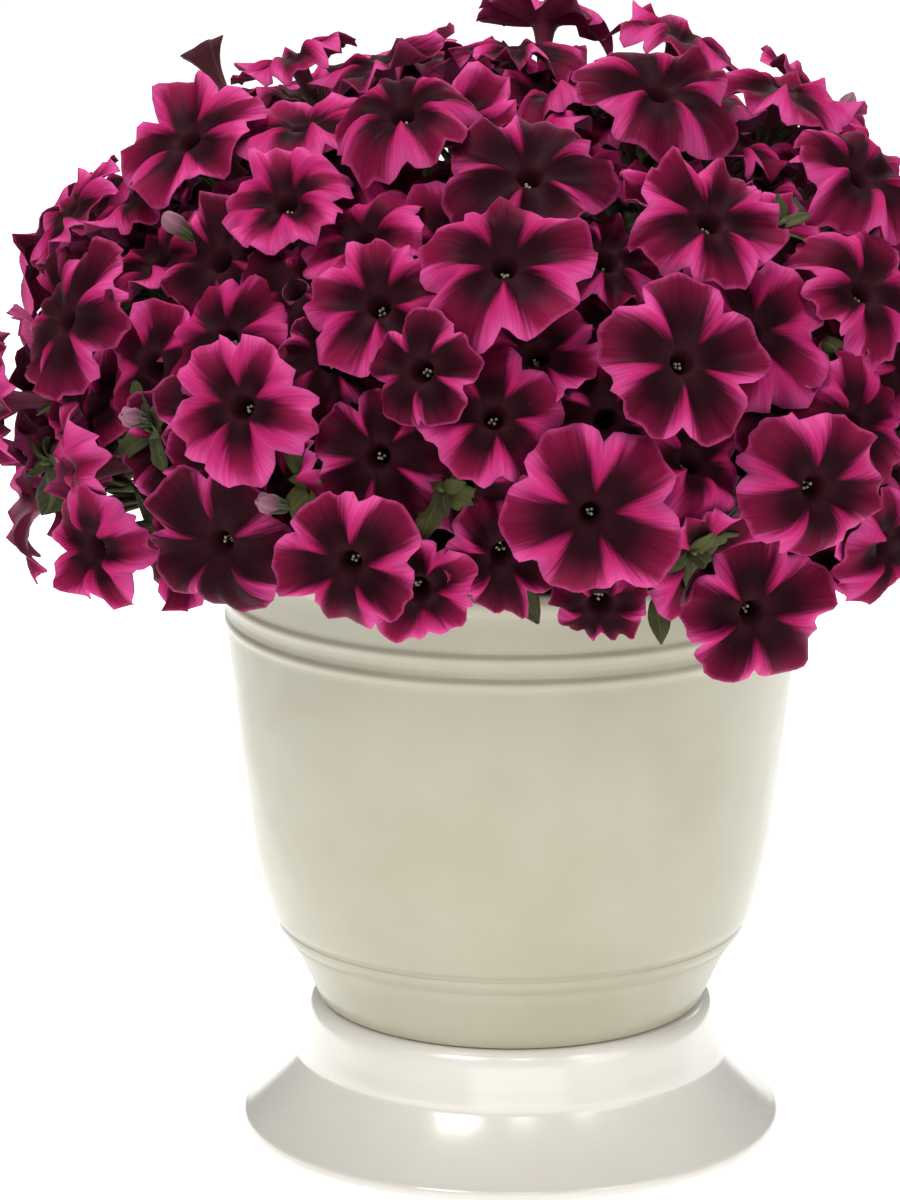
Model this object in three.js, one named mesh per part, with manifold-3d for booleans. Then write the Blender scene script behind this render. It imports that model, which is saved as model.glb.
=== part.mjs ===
// A mounded petunia in full flower, in a bell-shaped pot that stands on a separate flared pedestal.
// Millimetres, +Z up, the pedestal's foot on Z = 0 and the pot's axis on Z. An azimuth is in degrees
// about Z: 0 is the front, -Y, and 90 is +X.
import * as THREE from "three";
import { mergeVertices } from "three/addons/utils/BufferGeometryUtils.js";
import Module from "manifold-3d";

const wasm = await Module();
wasm.setup();

// ---- Driving dimensions ----

const GAP = 0.3; // clear space between two pieces that meet
const ROUND_SIDES = 26; // facets round the pot, the pedestal and the soil

const PEDESTAL = {
  footRadius: 137.6,
  lipHeight: 6,
  lipRound: 1.4, // how far the flare starts inside the foot's edge
  flareSag: 10, // how far the flare's middle control point stands outside the waist
  waistRadius: 109,
  waistHeight: 38,
  collarRadius: 105.7,
  collarDepth: 12, // from the deck down to the collar
  topRadius: 99,
  topRound: 2,
  height: 66,
  wall: 5,
};

const POT = {
  base: PEDESTAL.height + GAP,
  footRadius: 97.8,
  neckRadius: 114, // just under the bead
  neckHeight: 99,
  beadRadius: 118.5,
  beadHeight: 104,
  beadTop: 109,
  beadTopRadius: 117.9,
  shoulderRadius: 123,
  shoulderHeight: 114,
  bellyRadius: 131.3,
  bellyHeight: 150,
  sideRadius: 138,
  sideHeight: 210,
  ridgeHeights: [265.5, 278],
  ridgeRadius: 146,
  ridgeHalf: 3.2,
  ridgeFootRadius: 143.4, // between the ridges
  bandRadius: 144.2, // above the upper ridge
  rimHeight: 311,
  rimDepth: 7,
  rimRadius: 148,
  rimRound: 1.5,
  wall: 5,
  drainRadius: 9,
};

const SOIL_TOP = 296;
const SOIL_DOME = { radius: 136, half: 2 }; // where the soil meets the wall, and half its rise

// The surface that the flowers' faces lie on: an ellipsoid above its widest height, and a fuller,
// superelliptic curve that turns in below it.
const MOUND = { radius: 253, widest: 374, above: 185, below: 112, fullness: 2.6, hem: 304, crown: 559 };

const FLOWER = {
  lobes: 5,
  thickness: 0.8,
  throatRadius: 6.5,
  throatDepth: 12,
  notch: 0.8, // radius between two lobes, as a share of the flower's
  notchSink: 1.5,
  lobeHalfAngle: 17,
  cup: [0.02, 0.12], // how far the rim stands in front of the throat, as a share of the radius
  swell: [0.96, 1.02], // a rim corner's reach, as a share of the radius
  ruffle: 2.4,
  throatSink: 0.5,
  neckStep: 1.5,
  tube: 36, // from the face down to the calyx
  calyxRadius: 2.8,
  stalkRadius: 1.6,
  layers: [-4, 8, 20], // how deep a face may lie under the mound's surface
};
const FLOWER_COUNT = 98;
const FLOWER_SIZES = [66, 78]; // least and greatest diameter
const FLOWER_LEAN = 14; // degrees a face may lean off the mound's normal
const FLOWER_TRIALS = 240; // places tried for each flower outside the front
// Over the pot's face the hem is higher: the others' lowest flowers there are smaller and tucked up.
const FRONT_HEM = { halfWidth: 75, height: 336, size: 0.72 };
const CROWDED = 78; // flowers nearer than this avoid each other's layer
const SHALLOW_BIAS = 0.0004; // how much a shallow layer is liked, for each millimetre

// The planes that keep neighbours apart: their tilts in degrees, the room that a tilted one takes beyond
// the larger head's radius, how near two heads need one, and the least share that a rim is drawn in to.
const FENCE = { clear: 0.45, tilts: [0, 35, 55, 70], room: 9, near: 10, leastShare: 0.2 };

const TUFT = {
  radius: 26,
  heart: 3.2,
  leafWidth: 19,
  leafLength: [1.15, 1.5], // as a share of the tuft's radius
  leafRise: [0.15, 0.45], // as a share of the leaf's length
  shoulderAt: 0.42, // the places along a leaf of its two widest pairs of corners and of its midrib's point
  waistAt: 0.76,
  ribAt: 0.5,
  thickness: 0.8,
  fold: 3,
  depth: 15,
  leaves: 4,
};
const STEM = {
  radius: 3.6,
  branchRadius: 2.8,
  shootRadius: 2.2,
  sides: 4,
  holeRadius: 4.5,
  buried: 34,
  upright: 4, // how far above the soil the trunk starts to lean
  stub: 15,
  rooted: 0.8, // the share of a stub that carries flower stalks
};

// The flowers of the front, the foremost first: azimuth, height of the face's centre, diameter, and how
// far the face nods down and swings towards +azimuth, in degrees.
const FRONT_FLOWERS = [
  [-1, 480, 78, 0, 0],
  [19, 440, 76, 4, 4],
  [8, 377, 78, -4, -6],
  [33, 380, 68, 0, -6],
  [30, 315, 72, 2, -12],
  [32, 458, 80, 4, -6],
  [-17, 351, 68, 4, 0],
  [-15.5, 400, 62, 0, 6],
  [-34, 350, 74, 0, 6],
  [-30, 417, 68, 0, 4],
  [-2, 421, 66, -8, 6],
  [-39, 450, 74, 6, 8],
  [-17, 468, 66, 4, 0],
  [3, 521, 80, 6, 0],
  [-68, 513, 76, 8, 24],
  [38, 540, 76, 8, -10],
  [-62, 436, 76, 0, 8],
  [28, 494, 68, 4, -8],
  [62, 500, 72, 4, -14],
  [-24, 534, 72, 8, 4],
  [-24, 500, 64, 6, -8],
  [-38, 505, 64, 4, 10],
  [31, 518, 58, 6, 6],
  [50, 462, 70, 0, -8],
  [44, 404, 64, 0, -4],
  [21, 396, 54, -24, 20],
  [3, 453, 60, -10, 0],
  [-10, 438, 52, 10, -12],
  [-23, 447, 50, 0, 20],
  [14, 494, 54, 0, 10],
  [-57, 368, 62, 8, -28],
  [-52, 336, 58, 4, 6],
  [-69, 338, 62, 6, -24],
  [-80, 384, 66, 0, 0],
  [-1, 352, 56, 12, 14],
  [10, 328, 44, 20, -6],
  [47, 341, 60, 6, 8],
  [-60, 476, 62, -6, 0],
  [-43, 548, 60, 4, 0],
  [26, 554, 62, -30, 10],
  [60, 533, 56, 6, 10],
  [-86, 470, 64, 0, 8],
  [-76, 492, 60, 0, -10],
  [-104, 540, 62, 8, 0],
];

// Where tufts of leaves fill the gaps between the flowers, one for each stem: azimuth and height.
const OUTER_TUFTS = [
  [-8, 385],
  [21, 350],
  [46, 428],
  [97, 350],
  [110, 422],
  [161, 347],
  [172, 411],
  [-140, 352],
  [-128, 425],
  [-79, 352],
  [-47, 398],
  [-22, 385],
];
const INNER_TUFTS = [
  [47, 500],
  [150, 510],
  [-98, 505],
];

// The outer stems carry a low and a high spray each, and the inner stems two of the crown's.
const TIERS = {
  low: { top: 392, sectors: 12, hubRadius: 180, hubHeight: 330 },
  high: { top: 498, sectors: 12, hubRadius: 154, hubHeight: 410 },
  crown: { top: Infinity, sectors: 6, hubRadius: 74, hubHeight: 450 },
};
const OUTER_STEM = { footRadius: 92, forkRadius: 126, forkHeight: 338 };
const INNER_STEM = { footRadius: 38, forkRadius: 44, forkHeight: 398 };
const TRUNK_STEPS = 3;

const FINISH = {
  pedestal: { color: 0xe5e2da, roughness: 0.22, metalness: 0 },
  pot: { color: 0xc4bfa6, roughness: 0.38, metalness: 0 },
  soil: { color: 0x35261b, roughness: 0.97, metalness: 0 },
  leaf: { color: 0x46532c, roughness: 0.62, metalness: 0 },
  petal: { color: 0xb42470, roughness: 0.5, metalness: 0 },
};

// ---- Small helpers ----

const radians = (degrees) => (degrees * Math.PI) / 180;
const vec = (x, y, z) => new THREE.Vector3(x, y, z);

/** The point at an azimuth in degrees, a radius from the axis and a height. */
function at(azimuth, radius, height) {
  const a = radians(azimuth);
  return vec(radius * Math.sin(a), -radius * Math.cos(a), height);
}

let chance = 20261; // the seed of every free shape and place

/** The next number of a repeatable random series between 0 and 1. */
function random() {
  chance = (chance * 48271) % 2147483647;
  return chance / 2147483647;
}

/** The next random number between two limits. */
const between = (low, high) => low + (high - low) * random();

/** A closed three.js geometry as a manifold-3d solid. */
function solidFrom(geometry) {
  const bare = geometry.clone();
  bare.deleteAttribute("normal");
  bare.deleteAttribute("uv");
  const merged = mergeVertices(bare, 1e-4);
  const vertProperties = merged.attributes.position.array;
  const triVerts = new Uint32Array(merged.index.array);
  return new wasm.Manifold(new wasm.Mesh({ numProp: 3, vertProperties, triVerts }));
}

/** A manifold-3d solid as a three.js geometry. */
function geometryFrom(solid) {
  const mesh = solid.getMesh();
  const geometry = new THREE.BufferGeometry();
  geometry.setAttribute("position", new THREE.BufferAttribute(mesh.vertProperties, 3));
  geometry.setIndex(new THREE.BufferAttribute(mesh.triVerts, 1));
  geometry.computeVertexNormals();
  return geometry;
}

/** The union of several solids. */
const fuse = (solids) => solids.reduce((whole, solid) => whole.add(solid));

/** A closed mesh from points and triangles, as a solid. */
function solidOf(points, triangles) {
  const geometry = new THREE.BufferGeometry().setFromPoints(points);
  geometry.setIndex(triangles.flat());
  return solidFrom(geometry);
}

/** The turned form of a profile of [radius, height] points, which is closed or runs from axis to axis. */
function turned(profile) {
  const points = profile.map(([radius, height]) => new THREE.Vector2(radius, height));
  return new THREE.LatheGeometry(points, ROUND_SIDES).rotateX(Math.PI / 2);
}

/** A round bar along a smooth line through some points. */
function bar(points, radius, steps) {
  const section = new THREE.Shape();
  for (let i = 0; i < STEM.sides; i++) {
    const a = radians((360 * i) / STEM.sides);
    const draw = i ? "lineTo" : "moveTo";
    section[draw](radius * Math.cos(a), radius * Math.sin(a));
  }
  section.closePath();
  const extrudePath = new THREE.CatmullRomCurve3(points);
  return solidFrom(new THREE.ExtrudeGeometry(section, { extrudePath, steps, curveSegments: 1 }));
}

// ---- Pedestal, pot and soil ----

/** The concave flare from the pedestal's lip to its waist, moved in by the wall for the inside. */
function flare(inset, segments) {
  const p = PEDESTAL;
  const lip = new THREE.Vector2(p.footRadius - p.lipRound - inset, p.lipHeight);
  const waist = new THREE.Vector2(p.waistRadius - inset, p.waistHeight);
  const middle = new THREE.Vector2(waist.x + p.flareSag, (lip.y + waist.y) / 2);
  return new THREE.QuadraticBezierCurve(lip, middle, waist).getPoints(segments).map((v) => [v.x, v.y]);
}

/** The pedestal: a flared skirt, open underneath, with a plain deck. */
function pedestalGeometry() {
  const p = PEDESTAL;
  const inside = [
    [0, p.height - p.wall],
    [p.topRadius - p.wall, p.height - p.wall],
    ...flare(p.wall + 1, 2).reverse(),
    [p.footRadius - p.wall - 2, 0],
  ];
  const outside = [
    [p.footRadius, 0],
    ...flare(0, 3),
    [p.collarRadius, p.height - p.collarDepth],
    [p.topRadius + p.topRound, p.height - p.topRound],
    [p.topRadius, p.height],
    [0, p.height],
  ];
  return turned([...inside, ...outside]);
}

/** The pot's outer wall from its foot to its rim, as [radius, height] points. */
function potOutside() {
  const p = POT;
  const ridge = (height) => [
    [p.ridgeFootRadius, height - p.ridgeHalf],
    [p.ridgeRadius, height],
  ];
  return [
    [p.footRadius, p.base],
    [p.neckRadius, p.neckHeight],
    [p.beadRadius, p.beadHeight],
    [p.beadTopRadius, p.beadTop],
    [p.shoulderRadius, p.shoulderHeight],
    [p.bellyRadius, p.bellyHeight],
    [p.sideRadius, p.sideHeight],
    ...p.ridgeHeights.flatMap(ridge),
    [p.bandRadius, p.ridgeHeights[1] + p.ridgeHalf],
    [p.rimRadius, p.rimHeight - p.rimDepth],
    [p.rimRadius - p.rimRound, p.rimHeight],
  ];
}

/** The pot's inner wall from its rim down to its floor, moved in by a gap for what fills it. */
function potInside(gap) {
  const p = POT;
  const inset = p.wall + gap;
  const floor = p.base + p.wall + gap;
  return [
    [p.ridgeFootRadius - inset, p.ridgeHeights[1]],
    [p.bellyRadius - inset, p.bellyHeight],
    [p.shoulderRadius - 2 - inset, p.shoulderHeight],
    [p.footRadius + 2 - inset, floor],
  ];
}

function potGeometry() {
  const p = POT;
  const outside = potOutside();
  const inside = [
    [p.rimRadius - p.rimRound - p.wall - 1, p.rimHeight],
    ...potInside(0),
    [p.drainRadius, p.base + p.wall],
    [p.drainRadius, p.base],
  ];
  return turned([...outside, ...inside, outside[0]]);
}

/** The potting mix, gently domed, with a plain hole for each stem's trunk. */
function soilGeometry(trunkPaths) {
  const wall = potInside(GAP).reverse();
  const floor = wall[0][1];
  const dome = [
    [SOIL_DOME.radius, SOIL_TOP - SOIL_DOME.half],
    [0, SOIL_TOP + SOIL_DOME.half],
  ];
  const mass = solidFrom(turned([[0, floor], ...wall, ...dome]));
  const holes = trunkPaths.map((path) => bar(path, STEM.holeRadius, TRUNK_STEPS));
  return geometryFrom(mass.subtract(fuse(holes)));
}

// ---- Where the flowers and the leaf tufts stand ----

/** The mound's radius at a height. */
function moundRadius(height) {
  const m = MOUND;
  if (height >= m.widest) return m.radius * Math.sqrt(1 - ((height - m.widest) / m.above) ** 2);
  return m.radius * (1 - ((m.widest - height) / m.below) ** m.fullness) ** (1 / m.fullness);
}

/** How far above level the mound's surface faces at a height, in degrees. Below its widest it leans down
 *  only a little, as the flowers there do. */
function moundPitch(height) {
  const m = MOUND;
  if (height < m.widest) return -4 * ((m.widest - height) / m.below);
  const outward = moundRadius(height) / m.radius ** 2;
  const upward = (height - m.widest) / m.above ** 2;
  return (Math.atan2(upward, outward) * 180) / Math.PI;
}

/** A level outward direction turned up by a pitch, at an azimuth, both in degrees. */
function facing(azimuth, pitch) {
  return at(azimuth, Math.cos(radians(pitch)), Math.sin(radians(pitch)));
}

/** The front's flowers, then the others, each set where it lies furthest from those before it. */
function flowerPlaces(tufts) {
  const places = FRONT_FLOWERS.map(([azimuth, height, size, nod, swing]) => {
    return { azimuth, height, size, nod, swing };
  });
  const spot = ({ azimuth, height }) => at(azimuth, moundRadius(height), height);
  const taken = [...places, ...tufts].map((p) => ({ point: spot(p), reach: (p.size ?? TUFT.radius) / 2 }));
  while (places.length < FLOWER_COUNT) {
    let best = null;
    for (let trial = 0; trial < FLOWER_TRIALS; trial++) {
      const place = { azimuth: between(-180, 180), height: between(MOUND.hem, MOUND.crown) };
      const point = spot(place);
      const room = Math.min(...taken.map((other) => other.point.distanceTo(point) - other.reach));
      if (!best || room > best.room) best = { ...place, point, room };
    }
    const size = between(...FLOWER_SIZES);
    taken.push({ point: best.point, reach: size / 2 });
    const nod = between(-FLOWER_LEAN, FLOWER_LEAN);
    const swing = between(-FLOWER_LEAN, FLOWER_LEAN);
    places.push(tuckedUp({ azimuth: best.azimuth, height: best.height, size, nod, swing }));
  }
  return places;
}

/** A flower's place, raised and smaller where it would hang below the hem of the front. */
function tuckedUp(place) {
  if (Math.abs(place.azimuth) > FRONT_HEM.halfWidth || place.height > FRONT_HEM.height) return place;
  return { ...place, height: FRONT_HEM.height, size: place.size * FRONT_HEM.size };
}

/** The layer that lies furthest from the layers of the flowers close by. */
function freeLayer(point, earlier) {
  const cost = (depth) =>
    earlier.reduce((sum, other) => {
      const near = 1 - point.distanceTo(other.point) / CROWDED;
      return near > 0 ? sum + near / (1 + Math.abs(depth - other.depth)) : sum;
    }, depth * SHALLOW_BIAS);
  return FLOWER.layers.reduce((best, depth) => (cost(depth) < cost(best) ? depth : best));
}

/** Which tier a height is in. */
const tierOf = (height) => Object.keys(TIERS).find((name) => height < TIERS[name].top);

/** The flowers with their centres, axes, sprays and the free shape of their petals' rims. */
function makeFlowers(places) {
  const flowers = [];
  for (const place of places) {
    const point = at(place.azimuth, moundRadius(place.height), place.height);
    const depth = freeLayer(point, flowers);
    const pitch = moundPitch(place.height);
    const axis = facing(place.azimuth + place.swing, pitch - place.nod);
    const centre = point.clone().addScaledVector(facing(place.azimuth, pitch), -depth);
    const across = vec(0, 0, 1).cross(axis).normalize();
    const side = across.clone().applyAxisAngle(axis, radians(360 * random()));
    const tier = tierOf(place.height);
    const width = 360 / TIERS[tier].sectors;
    const sector = Math.floor((((place.azimuth + width / 2) % 360) + 360) % 360 / width);
    const flower = { ...place, point, depth, axis, centre, side, tier, sector, radius: place.size / 2 };
    flower.rim = flowerRim(flower);
    flowers.push(flower);
  }
  return flowers;
}

/** The rim of a flower: two shoulders and a notch for each lobe, ruffled a little. */
function flowerRim({ centre, axis, side, radius }) {
  const other = axis.clone().cross(side);
  const rim = [];
  const step = 360 / FLOWER.lobes;
  const cup = radius * between(...FLOWER.cup);
  for (let lobe = 0; lobe < FLOWER.lobes; lobe++) {
    const corners = [
      [-step / 2, FLOWER.notch, -FLOWER.notchSink],
      [-FLOWER.lobeHalfAngle, 1, 0],
      [FLOWER.lobeHalfAngle, 1, 0],
    ];
    for (const [offset, share, rise] of corners) {
      const a = radians(step * lobe + offset);
      const reach = radius * share * between(...FLOWER.swell);
      const lift = rise + cup + between(-FLOWER.ruffle, FLOWER.ruffle);
      const point = centre.clone().addScaledVector(side, reach * Math.cos(a));
      rim.push(point.addScaledVector(other, reach * Math.sin(a)).addScaledVector(axis, lift));
    }
  }
  return rim;
}

/** The leaf tufts with their centres and axes. */
function makeTufts(places) {
  return places.map(({ azimuth, height, stem }) => {
    const axis = facing(azimuth, moundPitch(height));
    const centre = at(azimuth, moundRadius(height), height).addScaledVector(axis, -TUFT.depth);
    return { azimuth, height, stem, axis, centre, radius: TUFT.radius, rim: [] };
  });
}

// ---- Keeping neighbours apart ----

/** The plane between two heads, steep or tilted under the upper one, that cuts their rims back least. */
function planeBetween(a, b) {
  const mean = a.axis.clone().add(b.axis).normalize();
  const apart = b.centre.clone().sub(a.centre);
  const rise = apart.dot(mean);
  const level = apart.clone().addScaledVector(mean, -rise);
  const distance = level.length();
  level.normalize();
  const middle = a.centre.clone().addScaledVector(apart, a.radius / (a.radius + b.radius));
  const roomy = distance > Math.max(a.radius, b.radius) + FENCE.room;
  const choices = (roomy ? FENCE.tilts : [0]).map((tilt) => {
    const normal = level.clone().multiplyScalar(Math.cos(radians(tilt)));
    normal.addScaledVector(mean, Math.sign(rise) * Math.sin(radians(tilt)));
    const over = (rim, sign) =>
      rim.reduce((sum, p) => sum + Math.max(0, sign * p.clone().sub(middle).dot(normal) + FENCE.clear), 0);
    return { normal, middle, loss: over(a.rim, 1) + over(b.rim, -1) };
  });
  return choices.reduce((best, choice) => (choice.loss < best.loss ? choice : best));
}

/** Gives each head the planes between it and the heads of other pieces close by. */
function fenceIn(heads) {
  for (const head of heads) head.fences = [];
  heads.forEach((a, i) =>
    heads.slice(i + 1).forEach((b) => {
      if (a.piece === b.piece) return;
      if (a.centre.distanceTo(b.centre) > a.radius + b.radius + FENCE.near) return;
      const { normal, middle } = planeBetween(a, b);
      a.fences.push({ normal, middle });
      b.fences.push({ normal: normal.clone().negate(), middle });
    }),
  );
}

/** A point of a head's petals or leaves, drawn in towards its centre until it is inside every fence. */
function drawnIn(point, head) {
  const out = point.clone().sub(head.centre);
  let share = 1;
  for (const { normal, middle } of head.fences) {
    const reach = out.dot(normal);
    const room = middle.clone().sub(head.centre).dot(normal) - FENCE.clear;
    if (reach > room) share = Math.min(share, Math.max(FENCE.leastShare, room / reach));
  }
  return head.centre.clone().addScaledVector(out, share);
}

// ---- Flower sprays ----

/** Triangles between two rings of indices, the second below the first and with as many or fewer corners. */
function joinRings(upper, lower) {
  const below = (k) => lower[Math.round((k * lower.length) / upper.length) % lower.length];
  return upper.flatMap((corner, k) => {
    const next = upper[(k + 1) % upper.length];
    const strip = [[corner, below(k), next]];
    if (below(k) !== below(k + 1)) strip.push([next, below(k), below(k + 1)]);
    return strip;
  });
}

/** A ring of points about a centre, square to a direction, keyed to a flower's side. */
function ring(centre, direction, side, radius, corners) {
  const first = side.clone().addScaledVector(direction, -side.dot(direction)).normalize();
  const second = first.clone().cross(direction);
  return Array.from({ length: corners }, (_, i) => {
    const a = radians((360 * (i - 0.5)) / corners);
    const point = centre.clone().addScaledVector(first, radius * Math.cos(a));
    return point.addScaledVector(second, radius * Math.sin(a));
  });
}

/** One flower: a dished face of five lobes, its tube, and a stalk that ends inside the spray's stub. */
function flowerSolid(flower, root) {
  const { centre, axis, side } = flower;
  const down = axis.clone().negate();
  const below = (depth) => centre.clone().addScaledVector(axis, -depth);
  const front = flower.rim.map((point) => drawnIn(point, flower));
  const back = front.map((point) => point.clone().addScaledVector(axis, -FLOWER.thickness));
  const calyx = below(FLOWER.tube);
  const neckDepth = FLOWER.throatSink + 2 * FLOWER.thickness;
  const rings = [
    ring(below(FLOWER.throatSink), down, side, FLOWER.throatRadius, FLOWER.lobes),
    ring(below(neckDepth), down, side, FLOWER.throatRadius + FLOWER.neckStep, FLOWER.lobes),
    ring(calyx, down, side, FLOWER.calyxRadius, 3),
    ring(root, root.clone().sub(calyx).normalize(), side, FLOWER.stalkRadius, 3),
  ];
  const points = [below(FLOWER.throatDepth)];
  const place = (list) => list.map((point) => points.push(point) - 1);
  const [throat, neck, foot, end] = rings.map(place);
  const rimFront = place(front);
  const rimBack = place(back);
  const lobe = (inner, rim, k) => {
    const [a, b] = [inner[k], inner[(k + 1) % inner.length]];
    const [notch, first, second] = rim.slice(3 * k, 3 * k + 3);
    const nextNotch = rim[(3 * k + 3) % rim.length];
    return [
      [a, notch, first],
      [a, first, second],
      [a, second, b],
      [b, second, nextNotch],
    ];
  };
  const lobes = [...Array(FLOWER.lobes).keys()];
  const triangles = [
    ...lobes.map((k) => [0, throat[k], throat[(k + 1) % FLOWER.lobes]]),
    ...lobes.flatMap((k) => lobe(throat, rimFront, k)),
    ...lobes.flatMap((k) => lobe(neck, rimBack, k)).map(([a, b, c]) => [a, c, b]),
    ...joinRings(rimFront, rimBack),
    ...joinRings(neck, foot),
    ...joinRings(foot, end),
    [end[0], end[2], end[1]],
  ];
  return solidOf(points, triangles);
}

/** Where a spray's stub starts and ends: from its hub back towards the stem's fork. */
function stubOf(hub, fork) {
  const inward = fork.clone().sub(hub).normalize();
  return { hub, inward, end: hub.clone().addScaledVector(inward, STEM.stub) };
}

/** A spray: its flowers and the stub of shoot that their stalks grow from, alternately along it. */
function spraySolid(flowers, stub) {
  const shoot = bar([stub.hub, stub.hub.clone().lerp(stub.end, 0.5), stub.end], STEM.branchRadius, 1);
  const solids = flowers.map((flower, i) => {
    const along = (STEM.rooted * STEM.stub * (i + 0.5)) / flowers.length;
    return flowerSolid(flower, stub.hub.clone().addScaledVector(stub.inward, along));
  });
  return fuse([shoot, ...solids]);
}

// ---- Leafy stems ----

/** A tuft: leaves folded along their midribs that spread from one heart, as a blade with both faces alike.
 *  Each leaf has six corners, the first in the gap before it, and a point on its midrib. */
function tuftSolid(tuft) {
  const across = vec(0, 0, 1).cross(tuft.axis).normalize();
  const turn = 360 * random();
  const step = 360 / TUFT.leaves;
  const upper = [];
  const spot = (direction, along, sideways, lift) => {
    const right = tuft.axis.clone().cross(direction);
    const point = tuft.centre.clone().addScaledVector(direction, along);
    return drawnIn(point.addScaledVector(right, sideways).addScaledVector(tuft.axis, lift), tuft);
  };
  const half = TUFT.leafWidth / 2;
  for (let leaf = 0; leaf < TUFT.leaves; leaf++) {
    const direction = across.clone().applyAxisAngle(tuft.axis, radians(turn + step * leaf));
    const gap = across.clone().applyAxisAngle(tuft.axis, radians(turn + step * (leaf - 0.5)));
    const length = TUFT.radius * between(...TUFT.leafLength);
    const rise = length * between(...TUFT.leafRise);
    const { shoulderAt, waistAt, ribAt, fold } = TUFT;
    upper.push(
      spot(gap, TUFT.heart, 0, 0),
      spot(direction, shoulderAt * length, -half, shoulderAt * rise + fold),
      spot(direction, waistAt * length, -0.8 * half, 0.7 * rise + fold),
      spot(direction, length, 0, 0.75 * rise),
      spot(direction, waistAt * length, 0.8 * half, 0.7 * rise + fold),
      spot(direction, shoulderAt * length, half, shoulderAt * rise + fold),
      spot(direction, ribAt * length, 0, ribAt * rise),
    );
  }
  const count = upper.length;
  const perLeaf = count / TUFT.leaves;
  const rib = perLeaf - 1;
  const corners = [...Array(rib).keys()];
  const lower = upper.map((point) => point.clone().addScaledVector(tuft.axis, -TUFT.thickness));
  const leaves = [...Array(TUFT.leaves).keys()].map((leaf) => perLeaf * leaf);
  const outline = leaves.flatMap((first) => corners.map((k) => first + k));
  const faces = leaves.flatMap((first) => {
    const loop = [...corners.map((k) => first + k), (first + perLeaf) % count];
    return loop.map((corner, k) => [first + rib, corner, loop[(k + 1) % loop.length]]);
  });
  const heart = leaves.slice(2).map((first, k) => [0, leaves[k + 1], first]);
  const top = [...faces, ...heart];
  const under = top.map((triangle) => triangle.map((k) => k + count).reverse());
  const edges = outline.flatMap((k, i) => {
    const next = outline[(i + 1) % outline.length];
    return [
      [k, k + count, next],
      [next, k + count, next + count],
    ];
  });
  return solidOf([...upper, ...lower], [...top, ...under, ...edges]);
}

/** The line of a stem's trunk, from a depth in the soil up to its fork. */
function trunkPath(foot, fork, buried) {
  const start = foot.clone().setZ(SOIL_TOP - buried);
  const rise = foot.clone().setZ(SOIL_TOP + STEM.upright);
  return [start, rise, fork];
}

/** A leafy stem: up from the soil to its fork, then a branch to each spray's stub and to its tuft. */
function stemSolid(foot, fork, stubs, tuft) {
  const branches = stubs.map(({ end, inward }) => {
    const seat = end.clone().addScaledVector(inward, GAP);
    return bar([fork, fork.clone().lerp(seat, 0.5), seat], STEM.branchRadius, 1);
  });
  const tip = tuft.centre.clone().addScaledVector(tuft.axis, 1.5);
  const shoot = bar([fork, fork.clone().lerp(tip, 0.5), tip], STEM.shootRadius, 2);
  const trunk = bar(trunkPath(foot, fork, STEM.buried), STEM.radius, TRUNK_STEPS);
  return fuse([trunk, ...branches, shoot, tuftSolid(tuft)]);
}

// ---- The whole planter ----

const group = new THREE.Group();
group.name = "petunia_planter";

function add(name, geometry, finish) {
  const mesh = new THREE.Mesh(geometry, new THREE.MeshStandardMaterial(FINISH[finish]));
  mesh.name = name;
  group.add(mesh);
}

const number = (n) => String(n).padStart(2, "0");

const tufts = makeTufts([
  ...OUTER_TUFTS.map(([azimuth, height], i) => ({ azimuth, height, stem: `outer_${i}` })),
  ...INNER_TUFTS.map(([azimuth, height], i) => ({ azimuth, height, stem: `inner_${i}` })),
]);
const flowers = makeFlowers(flowerPlaces(tufts));
for (const tuft of tufts) tuft.piece = tuft.stem;
for (const flower of flowers) flower.piece = `${flower.tier}_${flower.sector}`;
fenceIn([...flowers, ...tufts]);

const hubAt = (tier, sector) => {
  const { sectors, hubRadius, hubHeight } = TIERS[tier];
  return at((360 / sectors) * sector, hubRadius, hubHeight);
};
const outerStems = OUTER_TUFTS.map((_, i) => ({
  azimuth: 30 * i,
  ...OUTER_STEM,
  tuft: tufts[i],
  carries: [
    ["low", i],
    ["high", i],
  ],
}));
const innerStems = INNER_TUFTS.map((_, i) => ({
  azimuth: 120 * i + 30,
  ...INNER_STEM,
  tuft: tufts[OUTER_TUFTS.length + i],
  carries: [
    ["crown", 2 * i],
    ["crown", 2 * i + 1],
  ],
}));

const trunkHoles = [];
for (const [i, stem] of [...outerStems, ...innerStems].entries()) {
  const foot = at(stem.azimuth, stem.footRadius, SOIL_TOP);
  const fork = at(stem.azimuth, stem.forkRadius, stem.forkHeight);
  trunkHoles.push(trunkPath(foot, fork, STEM.buried + 1));
  const stubs = stem.carries.map(([tier, sector]) => {
    const stub = stubOf(hubAt(tier, sector), fork);
    const members = flowers.filter((flower) => flower.tier === tier && flower.sector === sector);
    add(`flower_spray_${tier}_${number(sector + 1)}`, geometryFrom(spraySolid(members, stub)), "petal");
    return stub;
  });
  add(`leafy_stem_${number(i + 1)}`, geometryFrom(stemSolid(foot, fork, stubs, stem.tuft)), "leaf");
}

add("pedestal", pedestalGeometry(), "pedestal");
add("pot", potGeometry(), "pot");
add("soil", soilGeometry(trunkHoles), "soil");

export default group;
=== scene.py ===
"""A mounded petunia in full flower, in a bell-shaped pot that stands on a flared pedestal.

Sizes in the classes are millimetres and angles are degrees. An azimuth is 0 at the front, -Y, and 90 at +X.
Meshes are made in metres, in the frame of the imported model.
"""

import logging
import math
from dataclasses import dataclass, field, replace
from enum import Enum
from typing import Callable, ClassVar, Iterable, Optional, Sequence

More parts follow.
